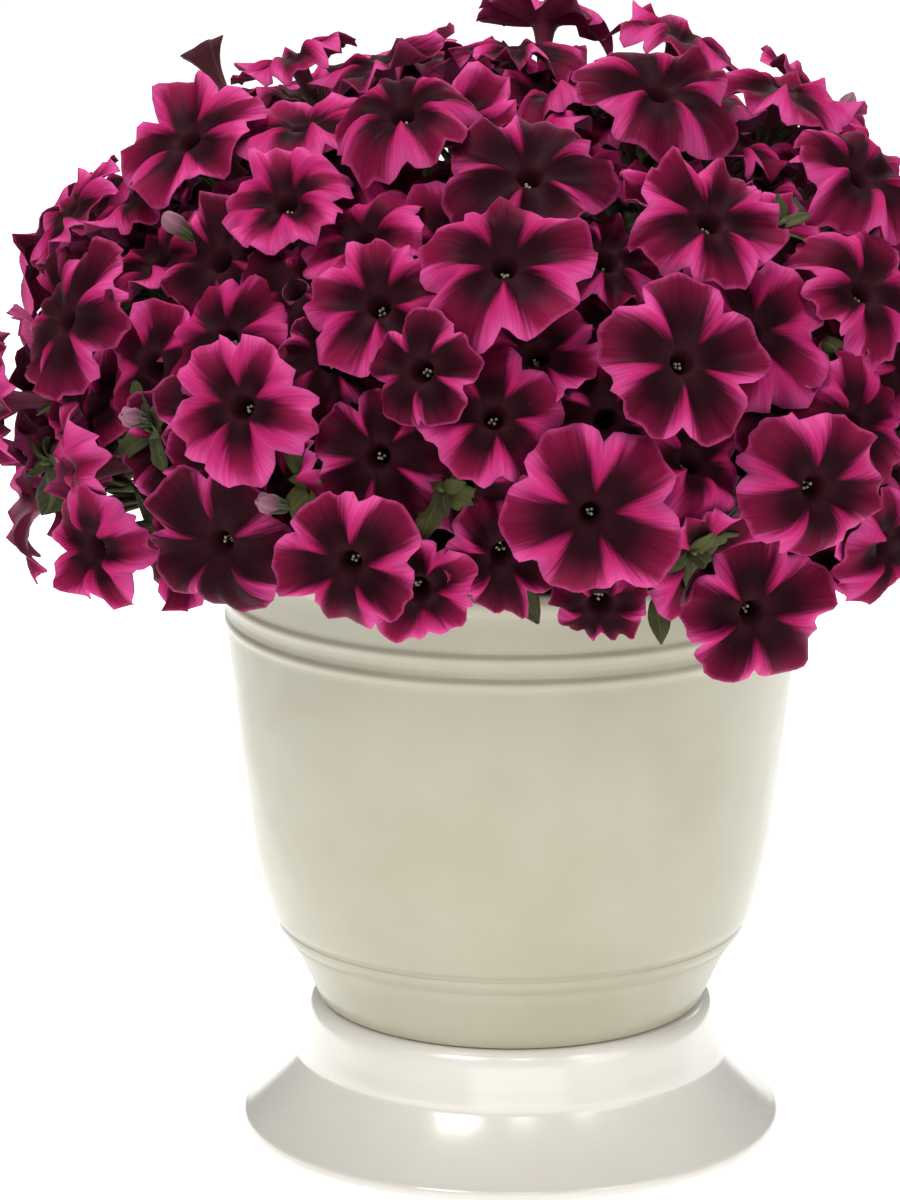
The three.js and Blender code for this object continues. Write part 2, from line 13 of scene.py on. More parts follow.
import bpy
import numpy as np
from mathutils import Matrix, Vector


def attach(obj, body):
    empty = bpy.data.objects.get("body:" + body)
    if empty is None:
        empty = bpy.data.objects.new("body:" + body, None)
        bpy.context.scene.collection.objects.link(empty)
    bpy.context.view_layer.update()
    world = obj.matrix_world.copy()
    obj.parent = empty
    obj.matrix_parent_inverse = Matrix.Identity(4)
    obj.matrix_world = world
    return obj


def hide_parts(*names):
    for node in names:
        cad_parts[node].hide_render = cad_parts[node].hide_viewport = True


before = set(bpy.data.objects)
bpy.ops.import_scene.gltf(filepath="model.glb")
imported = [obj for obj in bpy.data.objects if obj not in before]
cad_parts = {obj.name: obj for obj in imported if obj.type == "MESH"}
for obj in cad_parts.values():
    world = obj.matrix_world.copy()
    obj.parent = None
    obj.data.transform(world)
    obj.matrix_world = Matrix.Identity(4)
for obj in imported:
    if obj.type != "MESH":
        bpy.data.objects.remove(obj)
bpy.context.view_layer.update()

LOG = logging.getLogger("petunia")
MM = 0.001
Socket = bpy.types.NodeSocket
Colour = tuple[float, float, float]


# ---- Directions, curves and chance ----


def at(azimuth: float, radius: float, height: float) -> np.ndarray:
    """Returns the point at an azimuth, a radius from the axis and a height."""
    a = math.radians(azimuth)
    return np.array([radius * math.sin(a), -radius * math.cos(a), height])


def facing(azimuth: float, pitch: float) -> np.ndarray:
    """Returns the unit direction that faces out at an azimuth, turned up by a pitch."""
    p = math.radians(pitch)
    return at(azimuth, math.cos(p), math.sin(p))


def unit(vector: np.ndarray) -> np.ndarray:
    """Returns a vector at length one."""
    return vector / np.linalg.norm(vector)


def turned_about(vector: np.ndarray, axis: np.ndarray, angle: float) -> np.ndarray:
    """Returns a vector turned about a unit axis by an angle.

    Args:
        vector: The vector to turn.
        axis: The unit axis to turn it about.
        angle: The angle, in degrees, by the right-hand rule.

    Returns:
        The turned vector.
    """
    c, s = math.cos(math.radians(angle)), math.sin(math.radians(angle))
    return vector * c + np.cross(axis, vector) * s + axis * np.dot(axis, vector) * (1 - c)


def smooth_line(points: Sequence[np.ndarray], count: int) -> np.ndarray:
    """Returns points spread along a smooth curve through some points.

    Args:
        points: The points that the curve passes through.
        count: How many points to return.

    Returns:
        An array of count points.
    """
    knots = np.array(points, float)
    padded = np.vstack([2 * knots[0] - knots[1], knots, 2 * knots[-1] - knots[-2]])
    out = []
    for t in np.linspace(0, len(knots) - 1 - 1e-9, count):
        i = int(t)
        u = t - i
        a, b, c, d = padded[i : i + 4]
        out.append(
            0.5 * (2 * b + (c - a) * u + (2 * a - 5 * b + 4 * c - d) * u**2 + (3 * b - a - 3 * c + d) * u**3)
        )
    return np.array(out)


def smoothstep(value: np.ndarray, low: float, high: float) -> np.ndarray:
    """Returns a smooth ramp of a value from 0 at low to 1 at high."""
    t = np.clip((value - low) / (high - low), 0, 1)
    return t * t * (3 - 2 * t)


class Chance:
    """A repeatable source of random numbers."""

    def __init__(self, seed: int) -> None:
        """Starts the source from a seed."""
        self.state = seed

    def share(self) -> float:
        """Returns the next number between 0 and 1."""
        self.state = (self.state * 48271) % 2147483647
        return self.state / 2147483647

    def between(self, low: float, high: float) -> float:
        """Returns the next number between two limits."""
        return low + (high - low) * self.share()


# ---- Named options ----


class Slot(Enum):
    """The record's material slots."""

    PEDESTAL = "pedestal"
    POT = "pot"
    SOIL = "soil"
    LEAF = "leaf"
    PETAL = "petal"


class Tier(Enum):
    """The storeys of the mound: name, sectors round it, hub radius, hub height and least flower height."""

    CROWN = ("crown", 6, 74.0, 450.0, 498.0)
    HIGH = ("high", 12, 154.0, 410.0, 392.0)
    LOW = ("low", 12, 180.0, 330.0, 0.0)

    def __init__(self, label: str, sectors: int, hub_radius: float, hub_height: float, least: float) -> None:
        """Names the values of a tier."""
        self.label = label
        self.sectors = sectors
        self.hub_radius = hub_radius
        self.hub_height = hub_height
        self.least = least

    @staticmethod
    def of(height: float) -> "Tier":
        """Returns the tier that a height lies in."""
        return next(tier for tier in Tier if height >= tier.least)

    def hub(self, sector: int) -> np.ndarray:
        """Returns the outer end of the stub that carries a sector's spray."""
        return at(360 / self.sectors * sector, self.hub_radius, self.hub_height)

    def sector_of(self, azimuth: float) -> int:
        """Returns the sector that an azimuth lies in."""
        width = 360 / self.sectors
        return int(((azimuth + width / 2) % 360) // width)


# ---- Materials ----


class Shader:
    """A Principled material, with short calls for the node formulas that drive it."""

    def __init__(self, name: str, roughness: float, **constants: object) -> None:
        """Makes the material.

        Args:
            name: The material's name.
            roughness: Its plain roughness.
            constants: Values set on the shader's own sockets, by name with spaces as underscores.
        """
        self.material = bpy.data.materials.new(name)
        self.material.use_nodes = True
        self.nodes = self.material.node_tree.nodes
        self.surface = self.nodes["Principled BSDF"]
        for key, value in {"Roughness": roughness, **constants}.items():
            self.surface.inputs[key.replace("_", " ")].default_value = value

    def feed(self, node: bpy.types.Node, socket: object, value: object) -> None:
        """Links a socket, or sets a plain value, on a node's input."""
        if isinstance(value, Socket):
            self.material.node_tree.links.new(value, node.inputs[socket])
        elif value is not None:
            node.inputs[socket].default_value = value

    def node(self, kind: str, inputs: dict, output: object = 0, **settings: object) -> Socket:
        """Adds a node.

        Args:
            kind: The node's type, without its usual prefix.
            inputs: Sockets or plain values by the input's name or index.
            output: The name or index of the output to return.
            settings: Values of the node's own properties.

        Returns:
            The output's socket.
        """
        node = self.nodes.new("ShaderNode" + kind)
        for name, value in settings.items():
            setattr(node, name, value)
        for socket, value in inputs.items():
            self.feed(node, socket, value)
        return node.outputs[output]

    def math(self, operation: str, a: object, b: object = None, c: object = None) -> Socket:
        """Returns the result of a Math node on sockets or numbers."""
        return self.node("Math", {0: a, 1: b, 2: c}, operation=operation)

    def nudged(self, value: Socket, noise: Socket, share: float) -> Socket:
        """Returns a value moved by a share of how far a noise stands from one half."""
        return self.math("MULTIPLY_ADD", self.math("SUBTRACT", noise, 0.5), share, value)

    def ramped(
        self, value: Socket, low: float, high: float, to_low: float = 0.0, to_high: float = 1.0
    ) -> Socket:
        """Returns a value mapped by a smooth step from one range to another."""
        ends = {"Value": value, "From Min": low, "From Max": high, "To Min": to_low, "To Max": to_high}
        return self.node("MapRange", ends, "Result", interpolation_type="SMOOTHSTEP")

    def parts(self, name: str) -> list[Socket]:
        """Returns the three values of a mesh attribute."""
        vector = self.node("Attribute", {}, "Vector", attribute_name=name)
        return list(self.node("SeparateXYZ", {0: vector}).node.outputs)

    def place(self, stretch: Sequence[float] = (1, 1, 1)) -> Socket:
        """Returns the place on the object in metres, stretched along its axes."""
        return self.node("Mapping", {"Scale": stretch, "Vector": self.node("TexCoord", {}, "Object")})

    def noise(self, vector: Socket, scale: float, detail: float = 3.0, rough: float = 0.55) -> Socket:
        """Returns a noise value about one half."""
        return self.node("TexNoise", {"Vector": vector, "Scale": scale, "Detail": detail, "Roughness": rough})

    def drawn_out(self, polar: Sequence[Socket], around: float, along: float, start: object = 0.0) -> Socket:
        """Returns a place to read noise at, drawn out along a petal's veins.

        Args:
            polar: The cosine and sine of the angle round the flower, and the reach outward.
            around: How fast the noise changes round the flower.
            along: How fast it changes outward.
            start: Where it starts outward.

        Returns:
            The place.
        """
        x, y = (self.math("MULTIPLY", part, around) for part in polar[:2])
        return self.node("CombineXYZ", {0: x, 1: y, 2: self.math("MULTIPLY_ADD", polar[2], along, start)})

    def ramp(self, value: Socket, stops: Sequence[tuple[float, Colour]]) -> Socket:
        """Returns a colour from a ramp of places and linear colours."""
        output = self.node("ValToRGB", {"Fac": value}, "Color")
        elements = output.node.color_ramp.elements
        while len(elements) < len(stops):
            elements.new(1.0)
        for element, (place, colour) in zip(elements, stops):
            element.position = place
            element.color = (*colour, 1)
        return output

    def mixed(self, share: Socket, a: object, b: object) -> Socket:
        """Returns a mix of two colours, each a socket or a linear colour."""
        a, b = ((*colour, 1) if isinstance(colour, tuple) else colour for colour in (a, b))
        return self.node("Mix", {0: share, 6: a, 7: b}, 2, data_type="RGBA")

    def bump(self, height: Socket, strength: float, distance: float) -> None:
        """Gives the surface a bump of a height, in millimetres of distance."""
        bumped = self.node("Bump", {"Height": height, "Strength": strength, "Distance": distance * MM})
        self.feed(self.surface, "Normal", bumped)

    def colour(self, value: Socket) -> None:
        """Sets the surface's colour."""
        self.feed(self.surface, "Base Color", value)


def screen(*channels: int) -> Colour:
    """Returns the linear colour of a screen colour's red, green and blue of 0 to 255."""
    values = (channel / 255 for channel in channels)
    return tuple(v / 12.92 if v <= 0.04045 else ((v + 0.055) / 1.055) ** 2.4 for v in values)


@dataclass(frozen=True)
class PetalFinish:
    """The velvet of a petal's face: a near-black throat, five dark rays, and magenta from the seams."""

    # the first stop, which the tube's inside reads, is lighter than the throat mouth: painted light against the
    # shade deep in the tube
    rays: tuple = (
        (0.0, screen(44, 17, 24)),
        (0.2, screen(31, 9, 15)),
        (0.34, screen(36, 8, 17)),
        (0.5, screen(66, 10, 30)),
        (0.7, screen(98, 15, 45)),
        (0.88, screen(122, 22, 62)),
        (1.0, screen(146, 36, 84)),
    )
    seams: tuple = (
        (0.12, screen(98, 12, 46)),
        (0.4, screen(138, 22, 72)),
        (0.75, screen(164, 40, 98)),
        (1.0, screen(186, 70, 130)),
    )
    sheen: Colour = screen(150, 30, 90)
    # how fast the coarse and the fine streaks change round the flower and outward
    streaks: tuple = ((9.0, 1.1), (30.0, 1.6))

    def make(self) -> bpy.types.Material:
        """Returns the material."""
        skin = {"Sheen_Weight": 0.06, "Sheen_Roughness": 0.35, "Sheen_Tint": (*self.sheen, 1)}
        shader = Shader("petal_velvet", 0.5, Specular_IOR_Level=0.02, **skin)
        maths = shader.math
        polar, (seam, tone, odd) = shader.parts("petal_polar"), shader.parts("petal_traits")
        reach, own = polar[2], maths("MULTIPLY", odd, 91.0)
        coarse, fine = (
            shader.noise(shader.drawn_out(polar, around, along, own), 1.0, 3.0, 0.6)
            for around, along in self.streaks
        )
        ragged = shader.nudged(shader.nudged(seam, coarse, 0.5), fine, 0.22)
        spread = maths("MULTIPLY_ADD", tone, 0.78, 0.16)
        border = maths("SUBTRACT", 1.0, maths("MULTIPLY", spread, maths("POWER", reach, 0.85)))
        beside = shader.ramped(maths("SUBTRACT", ragged, border), -0.16, 0.2)
        start = maths("MULTIPLY_ADD", tone, -0.12, 0.2)
        opened = shader.ramped(maths("SUBTRACT", reach, start), -0.06, 0.12)
        margin = shader.ramped(maths("MULTIPLY_ADD", coarse, 0.1, reach), 0.97, 1.08, 0.0, 0.55)
        share = maths("MAXIMUM", maths("MULTIPLY", beside, opened), margin)
        along = maths("MULTIPLY", reach, maths("MULTIPLY_ADD", tone, 0.66, 0.5))
        dark = shader.ramp(shader.nudged(along, fine, 0.28), self.rays)
        bright = shader.ramp(shader.nudged(reach, fine, 0.5), self.seams)
        shader.colour(shader.mixed(share, dark, bright))
        shader.bump(maths("MULTIPLY_ADD", fine, 0.6, coarse), 0.4, 0.5)
        return shader.material


@dataclass(frozen=True)
class PetalBackFinish:
    """The duller outside of a petal and its tube, greyer towards the calyx."""

    name: str = "petal_back"
    tube: Colour = screen(86, 52, 56)
    veins: Colour = screen(54, 14, 30)
    limb: Colour = screen(122, 34, 72)
    margin: Colour = screen(156, 54, 102)

    def make(self) -> bpy.types.Material:
        """Returns the material."""
        shader = Shader(self.name, 0.6, Sheen_Weight=0.08, Sheen_Roughness=0.5, Specular_IOR_Level=0.1)
        polar = shader.parts("petal_polar")
        streaks = shader.noise(shader.drawn_out(polar, 11.0, 1.2), 1.5)
        outward = shader.math("MULTIPLY_ADD", polar[2], 0.5, 0.5)
        base = shader.ramp(outward, ((0.1, self.tube), (0.62, self.limb), (1.0, self.margin)))
        shader.colour(shader.mixed(shader.ramped(streaks, 0.5, 0.72, 0.0, 0.6), base, self.veins))
        shader.bump(streaks, 0.35, 0.4)
        return shader.material


@dataclass(frozen=True)
class LeafFinish:
    """The soft olive of the leaves, with a paler midrib and side veins."""

    shade: Colour = screen(26, 27, 11)
    green: Colour = screen(50, 51, 23)
    young: Colour = screen(72, 73, 35)
    rib: Colour = screen(82, 82, 48)

    def make(self) -> bpy.types.Material:
        """Returns the material."""
        shader = Shader("leaf_green", 0.6, Sheen_Weight=0.05, Sheen_Roughness=0.6, Specular_IOR_Level=0.12)
        maths = shader.math
        sideways, along, tone = shader.parts("leaf_place")
        across = maths("ABSOLUTE", sideways)
        mottle = shader.noise(shader.place(), 160.0)
        blend = maths("MULTIPLY_ADD", mottle, 0.5, maths("MULTIPLY", tone, 0.62))
        base = shader.ramp(blend, ((0.1, self.shade), (0.55, self.green), (1.0, self.young)))
        wave = maths("SINE", maths("MULTIPLY_ADD", along, 44.0, maths("MULTIPLY", across, -15.0)))
        side = maths("MULTIPLY", shader.ramped(wave, 0.82, 1.0), 0.3)
        ribs = maths("MAXIMUM", side, shader.ramped(across, 0.02, 0.12, 0.6, 0.0))
        shader.colour(shader.mixed(ribs, base, self.rib))
        shader.bump(maths("SUBTRACT", mottle, ribs), 0.5, 0.5)
        return shader.material


@dataclass(frozen=True)
class MouldedFinish:
    """A moulded cream or off-white shell, with the faint clouding and orange peel of its skin."""

    name: str
    main: Colour
    cloud: Colour
    roughness: float
    coat: float
    ripple: float

    def make(self) -> bpy.types.Material:
        """Returns the material."""
        shader = Shader(
            self.name,
            self.roughness,
            Coat_Weight=self.coat,
            Coat_Roughness=0.17,
            Specular_IOR_Level=0.5,
            Subsurface_Weight=0.04,
            Subsurface_Radius=(0.004, 0.003, 0.002),
        )
        clouds = shader.noise(shader.place(), 11.0, 3.0, 0.6)
        fine = shader.noise(shader.place(), 420.0, 2.0)
        tinted = shader.mixed(shader.ramped(clouds, 0.35, 0.7), self.main, self.cloud)
        specks = shader.ramped(shader.noise(shader.place(), 950.0, 1.0), 0.72, 0.8, 0.0, 0.22)
        shader.colour(shader.mixed(specks, tinted, tuple(0.55 * c for c in self.main)))
        skin = shader.ramped(clouds, 0.3, 0.75, self.roughness - 0.05, self.roughness + 0.08)
        shader.feed(shader.surface, "Roughness", skin)
        broad = shader.noise(shader.place((1, 1, 0.35)), 26.0, 2.0)
        shader.bump(shader.math("MULTIPLY_ADD", fine, 0.06, broad), 0.5, self.ripple)
        return shader.material


@dataclass(frozen=True)
class MottledFinish:
    """A rough skin of two colours, blended and roughened by noise.

    The mottle is its noise's scale, detail and roughness; the blend is where the second colour starts, where it
    is full and how strong it gets; the bump is a strength and a distance; a grain is the scale of finer noise
    for the bump.
    """

    name: str
    main: Colour
    other: Colour
    roughness: float
    mottle: tuple
    blend: tuple = (0.45, 0.7, 1.0)
    bump: tuple = (0.9, 3.0)
    grain: float = 0.0
    skin: dict = field(default_factory=dict)

    def make(self) -> bpy.types.Material:
        """Returns the material."""
        shader = Shader(self.name, self.roughness, **self.skin)
        mottle = shader.noise(shader.place(), *self.mottle)
        start, full, most = self.blend
        shader.colour(shader.mixed(shader.ramped(mottle, start, full, 0.0, most), self.main, self.other))
        shader.bump(shader.noise(shader.place(), self.grain, 2.0) if self.grain else mottle, *self.bump)
        return shader.material


@dataclass(frozen=True)
class FloorFinish:
    """A plain pale studio floor that glows: painted light, strongest close to the planter, which whitens the
    floor and throws bounce light up onto the pot and the pedestal.
    """

    tone: float = 0.86
    # painted light: how strongly the floor glows far out and close to the planter
    glow: float = 0.75
    near_glow: float = 0.84

    def make(self) -> bpy.types.Material:
        """Returns the material, whose painted glow is strongest near the planter and eases off further out."""
        paint = {"Base_Color": (self.tone, self.tone, self.tone, 1), "Emission_Color": (1, 1, 1, 1)}
        shader = Shader("studio_floor", 0.8, Specular_IOR_Level=0.1, **paint)
        distance = shader.node("VectorMath", {0: shader.place()}, "Value", operation="LENGTH")
        glow = shader.ramped(distance, 0.3, 2.4, self.near_glow, self.glow)
        shader.feed(shader.surface, "Emission Strength", glow)
        return shader.material


class Finishes:
    """Every material of the planter, made once."""

    def __init__(self) -> None:
        """Makes the materials."""
        pale = (screen(92, 82, 62), screen(80, 50, 58), screen(122, 86, 98), screen(136, 86, 108))
        dusky = (screen(116, 88, 84), screen(48, 18, 26), screen(82, 36, 48), screen(56, 18, 28))
        hairy = {"Sheen_Weight": 0.15, "Sheen_Roughness": 0.5, "Specular_IOR_Level": 0.15}
        stalk = MottledFinish("stalk_green", screen(70, 80, 42), screen(84, 58, 46), 0.65, (90.0, 2.0))
        pollen = MottledFinish("pollen", screen(168, 158, 134), screen(104, 94, 80), 0.85, (2600.0, 2.0))
        mix = MottledFinish("potting_mix", screen(38, 26, 18), screen(96, 66, 44), 0.95, (190.0, 5.0, 0.7))
        cream = MouldedFinish("pot_cream", screen(162, 158, 139), screen(156, 151, 130), 0.36, 0.25, 0.5)
        white = MouldedFinish("pedestal_white", screen(214, 211, 202), screen(209, 205, 196), 0.2, 0.7, 1.4)
        self.petal = PetalFinish().make()
        self.petal_back = PetalBackFinish().make()
        self.bud = PetalBackFinish("bud_skin", *pale).make()
        self.trumpet = PetalBackFinish("trumpet_skin", *dusky).make()
        self.leaf = LeafFinish().make()
        self.stalk = replace(stalk, blend=(0.45, 0.75, 0.7), bump=(0.4, 0.3), grain=1500.0, skin=hairy).make()
        self.pollen = replace(pollen, blend=(0.4, 0.65, 1.0), bump=(0.6, 0.3)).make()
        self.soil = replace(mix, skin={"Specular_IOR_Level": 0.2}).make()
        self.pot = cream.make()
        self.pedestal = white.make()
        self.floor = FloorFinish().make()


# ---- Mesh drafting ----


class Draft:
    """Points and faces gathered for one piece, with the values that its materials read."""

    def __init__(self) -> None:
        """Starts an empty draft."""
        self.points: list[np.ndarray] = []
        self.faces: list[tuple[int, ...]] = []
        self.kinds: list[int] = []
        self.values: dict[str, list[np.ndarray]] = {}
        self.count = 0

    def add_points(self, points: np.ndarray, **values: np.ndarray) -> int:
        """Adds points in millimetres, with a value for each in any named attribute.

        Args:
            points: The points, in an array of rows.
            values: The attributes' values, which spread over the points.

        Returns:
            The index of the first point added.
        """
        first, rows = self.count, np.asarray(points, float).reshape(-1, 3)
        for name, value in values.items():
            stored = self.values.setdefault(name, [])
            stored.append(np.zeros((first - sum(map(len, stored)), 3)))
            stored.append(np.broadcast_to(value, points.shape).reshape(-1, 3))
        self.points.append(rows)
        self.count += len(rows)
        return first

    def add_faces(self, faces: Iterable[Sequence[int]], kind: int = 0) -> None:
        """Adds faces of point indices, in the material of a kind."""
        added = [tuple(int(i) for i in face) for face in faces]
        self.faces += added
        self.kinds += [kind] * len(added)

    def add_grid(
        self, grid: np.ndarray, kind: int = 0, flip: bool = False, **values: np.ndarray
    ) -> np.ndarray:
        """Adds a grid of points that closes round its second index.

        Args:
            grid: The points, by row and then by place round the row.
            kind: The material's index.
            flip: Whether the faces turn the other way.
            values: Attribute values, which spread over the grid.

        Returns:
            The point indices, laid out as the grid is.
        """
        index = self.add_points(grid, **values) + np.arange(grid[..., 0].size).reshape(grid.shape[:2])
        for low, high in zip(index[:-1], index[1:]):
            self.bridge(low, high, kind, flip)
        return index

    def bridge(self, low: np.ndarray, high: np.ndarray, kind: int = 0, flip: bool = False) -> None:
        """Joins two rings of points that are already there."""
        quads = np.stack([low, np.roll(low, -1), np.roll(high, -1), high], axis=-1)
        # a turned face starts at the same corner, so both sides of a sheet split along the same diagonal
        self.add_faces(quads[:, [0, 3, 2, 1]] if flip else quads, kind)

    def cap(self, loop: Sequence[int], kind: int = 0, flip: bool = False) -> None:
        """Closes a ring of points with one face."""
        self.add_faces([list(loop)[::-1] if flip else list(loop)], kind)

    def cap_ends(self, index: np.ndarray, kind: int = 0) -> None:
        """Closes both ends of a grid."""
        self.cap(index[0], kind, flip=True)
        self.cap(index[-1], kind)

    def make(
        self, name: str, materials: Sequence[bpy.types.Material], smooth: bool = True
    ) -> bpy.types.Object:
        """Makes the piece.

        Args:
            name: The object's name.
            materials: The materials, in the order of the kinds.
            smooth: Whether the faces are shaded smooth.

        Returns:
            The object, linked to the scene.
        """
        mesh = bpy.data.meshes.new(name)
        mesh.from_pydata((np.vstack(self.points) * MM).tolist(), [], self.faces)
        mesh.polygons.foreach_set("material_index", np.array(self.kinds, np.int32))
        mesh.polygons.foreach_set("use_smooth", np.full(len(self.faces), smooth))
        for key, parts in self.values.items():
            rows = np.zeros((self.count, 3), np.float32)
            stored = np.vstack(parts)
            rows[: len(stored)] = stored
            mesh.attributes.new(key, "FLOAT_VECTOR", "POINT").data.foreach_set("vector", rows.ravel())
        for material in materials:
            mesh.materials.append(material)
        mesh.update()
        piece = bpy.data.objects.new(name, mesh)
        bpy.context.scene.collection.objects.link(piece)
        return piece


def spokes(side: np.ndarray, other: np.ndarray, angle: object) -> np.ndarray:
    """Returns the direction at an angle from one axis towards another, or a row for each angle."""
    return np.cos(angle)[..., None] * side + np.sin(angle)[..., None] * other


def full_turn(count: int) -> np.ndarray:
    """Returns angles spread evenly round a turn."""
    return np.linspace(0, 2 * math.pi, count, endpoint=False)


def sweep(
    draft: Draft,
    line: np.ndarray,
    radii: Sequence[float],
    sides: int,
    kind: int = 0,
    tone: Optional[float] = None,
) -> None:
    """Adds a closed round bar along a line.

    Args:
        draft: The draft to add to.
        line: The points of the bar's middle.
        radii: Its radius at each point, or at its two ends.
        sides: How many points go round it.
        kind: The material's index.
        tone: The tone of its green, where it has one.
    """
    radii = np.linspace(*radii, len(line)) if len(radii) == 2 else np.array(radii)
    tangents = np.gradient(line, axis=0)
    tangents /= np.linalg.norm(tangents, axis=1)[:, None]
    normal = unit(np.cross(tangents[0], [0.31, 0.87, 0.39]))
    turns = full_turn(sides)
    rows = []
    for point, tangent, radius in zip(line, tangents, radii):
        normal = unit(normal - tangent * np.dot(normal, tangent))
        rows.append(point + radius * spokes(normal, np.cross(tangent, normal), turns))
    values = {} if tone is None else {"leaf_place": np.array([0.5, 0.5, tone])}
    draft.cap_ends(draft.add_grid(np.array(rows), kind, **values), kind)


def seat(piece: bpy.types.Object, slot: Slot, *nodes: str) -> bpy.types.Object:
    """Fixes a piece to the root body and hides the imported parts of the nodes that it stands for."""
    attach(piece, "root")
    if nodes:
        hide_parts(*nodes)
    LOG.info("%s: %d faces", piece.name, len(piece.data.polygons))
    return piece


# ---- The pot, its pedestal and the soil ----


@dataclass
class TurnedForm:
    """A form turned about the Z axis from a closed profile."""

    segments: int = 144

    def turn(self, profile: Sequence[tuple[float, float]], capped: bool = False) -> Draft:
        """Returns the draft of a turned profile.

        Args:
            profile: The (radius, height) points.
            capped: Whether the profile's two ends are closed with flat faces, or joined to each other.

        Returns:
            The draft.
        """
        ring = spokes(np.array([0, -1, 0]), np.array([1, 0, 0]), full_turn(self.segments))
        draft = Draft()
        index = draft.add_grid(np.array([r * ring + [0, 0, z] for r, z in profile]))
        if capped:
            draft.cap_ends(index)
        else:
            draft.bridge(index[-1], index[0])
        return draft


def bezier(
    start: tuple[float, float], middle: tuple[float, float], end: tuple[float, float], count: int
) -> list[tuple[float, float]]:
    """Returns points of a quadratic curve, without its start."""
    a, b, c = (np.array(p, float) for p in (start, middle, end))
    steps = np.linspace(0, 1, count + 1)[1:]
    return [tuple((1 - t) ** 2 * a + 2 * t * (1 - t) * b + t * t * c) for t in steps]


@dataclass
class Pedestal(TurnedForm):
    """The flared base: a rounded lip, a concave flare, a collar and a plain deck over a hollow."""

    foot_radius: float = 137.6
    lip_height: float = 6.0
    waist_radius: float = 109.0
    waist_height: float = 38.0
    collar_radius: float = 105.7
    top_radius: float = 99.0
    height: float = 66.0
    wall: float = 5.0
    core_radius: float = 20.0
    step: float = 0.2

    def outside(self) -> list[tuple[float, float]]:
        """Returns the outer wall from the foot to the deck."""
        foot, lip = self.foot_radius, self.lip_height
        points = [(foot - 1.6, 0.0), (foot - 0.5, 0.35), (foot - 0.1, 1.2)]
        points += [(foot, 2.6), (foot - 0.1, lip - 2.0), (foot - 0.6, lip - 0.7), (foot - 1.5, lip)]
        middle = (self.waist_radius + 10, (lip + self.waist_height) / 2)
        points += bezier(points[-1], middle, (self.waist_radius, self.waist_height - 1.2), 16)
        edge = self.waist_radius + self.step
        points += [(edge - 0.15, self.waist_height - 0.5), (edge, self.waist_height + 0.4)]
        points += [(edge - 0.2, self.waist_height + 2.0), (107.6, 45.0)]
        shoulder = (self.collar_radius, self.height - 12)
        points += [(106.6, 49.5), shoulder, (104.9, 57.5)]
        points += bezier((104.9, 57.5), (103.6, 64.6), (self.top_radius, self.height), 9)
        return [*points, (self.core_radius, self.height)]

    def inside(self) -> list[tuple[float, float]]:
        """Returns the underside of the deck and the hollow's wall down to the lip."""
        top, wall = self.height, self.wall
        points = [(self.core_radius, top - wall), (self.top_radius - wall - 3, top - wall)]
        points.append((self.top_radius - wall, top - wall - 3))
        start = (self.waist_radius - wall - 1, self.waist_height)
        middle = (self.waist_radius + 4, (self.lip_height + self.waist_height) / 2)
        end = (self.foot_radius - wall - 2, self.lip_height)
        lip = [(self.foot_radius - wall - 2, 0.6), (131.4, 0.0)]
        return [*points, start, *bezier(start, middle, end, 12), *lip]

    def build(self, finishes: Finishes) -> None:
        """Makes the pedestal and seats it."""
        draft = self.turn([*self.inside(), *self.outside()], capped=True)
        seat(draft.make("planter_pedestal", [finishes.pedestal]), Slot.PEDESTAL, "pedestal")


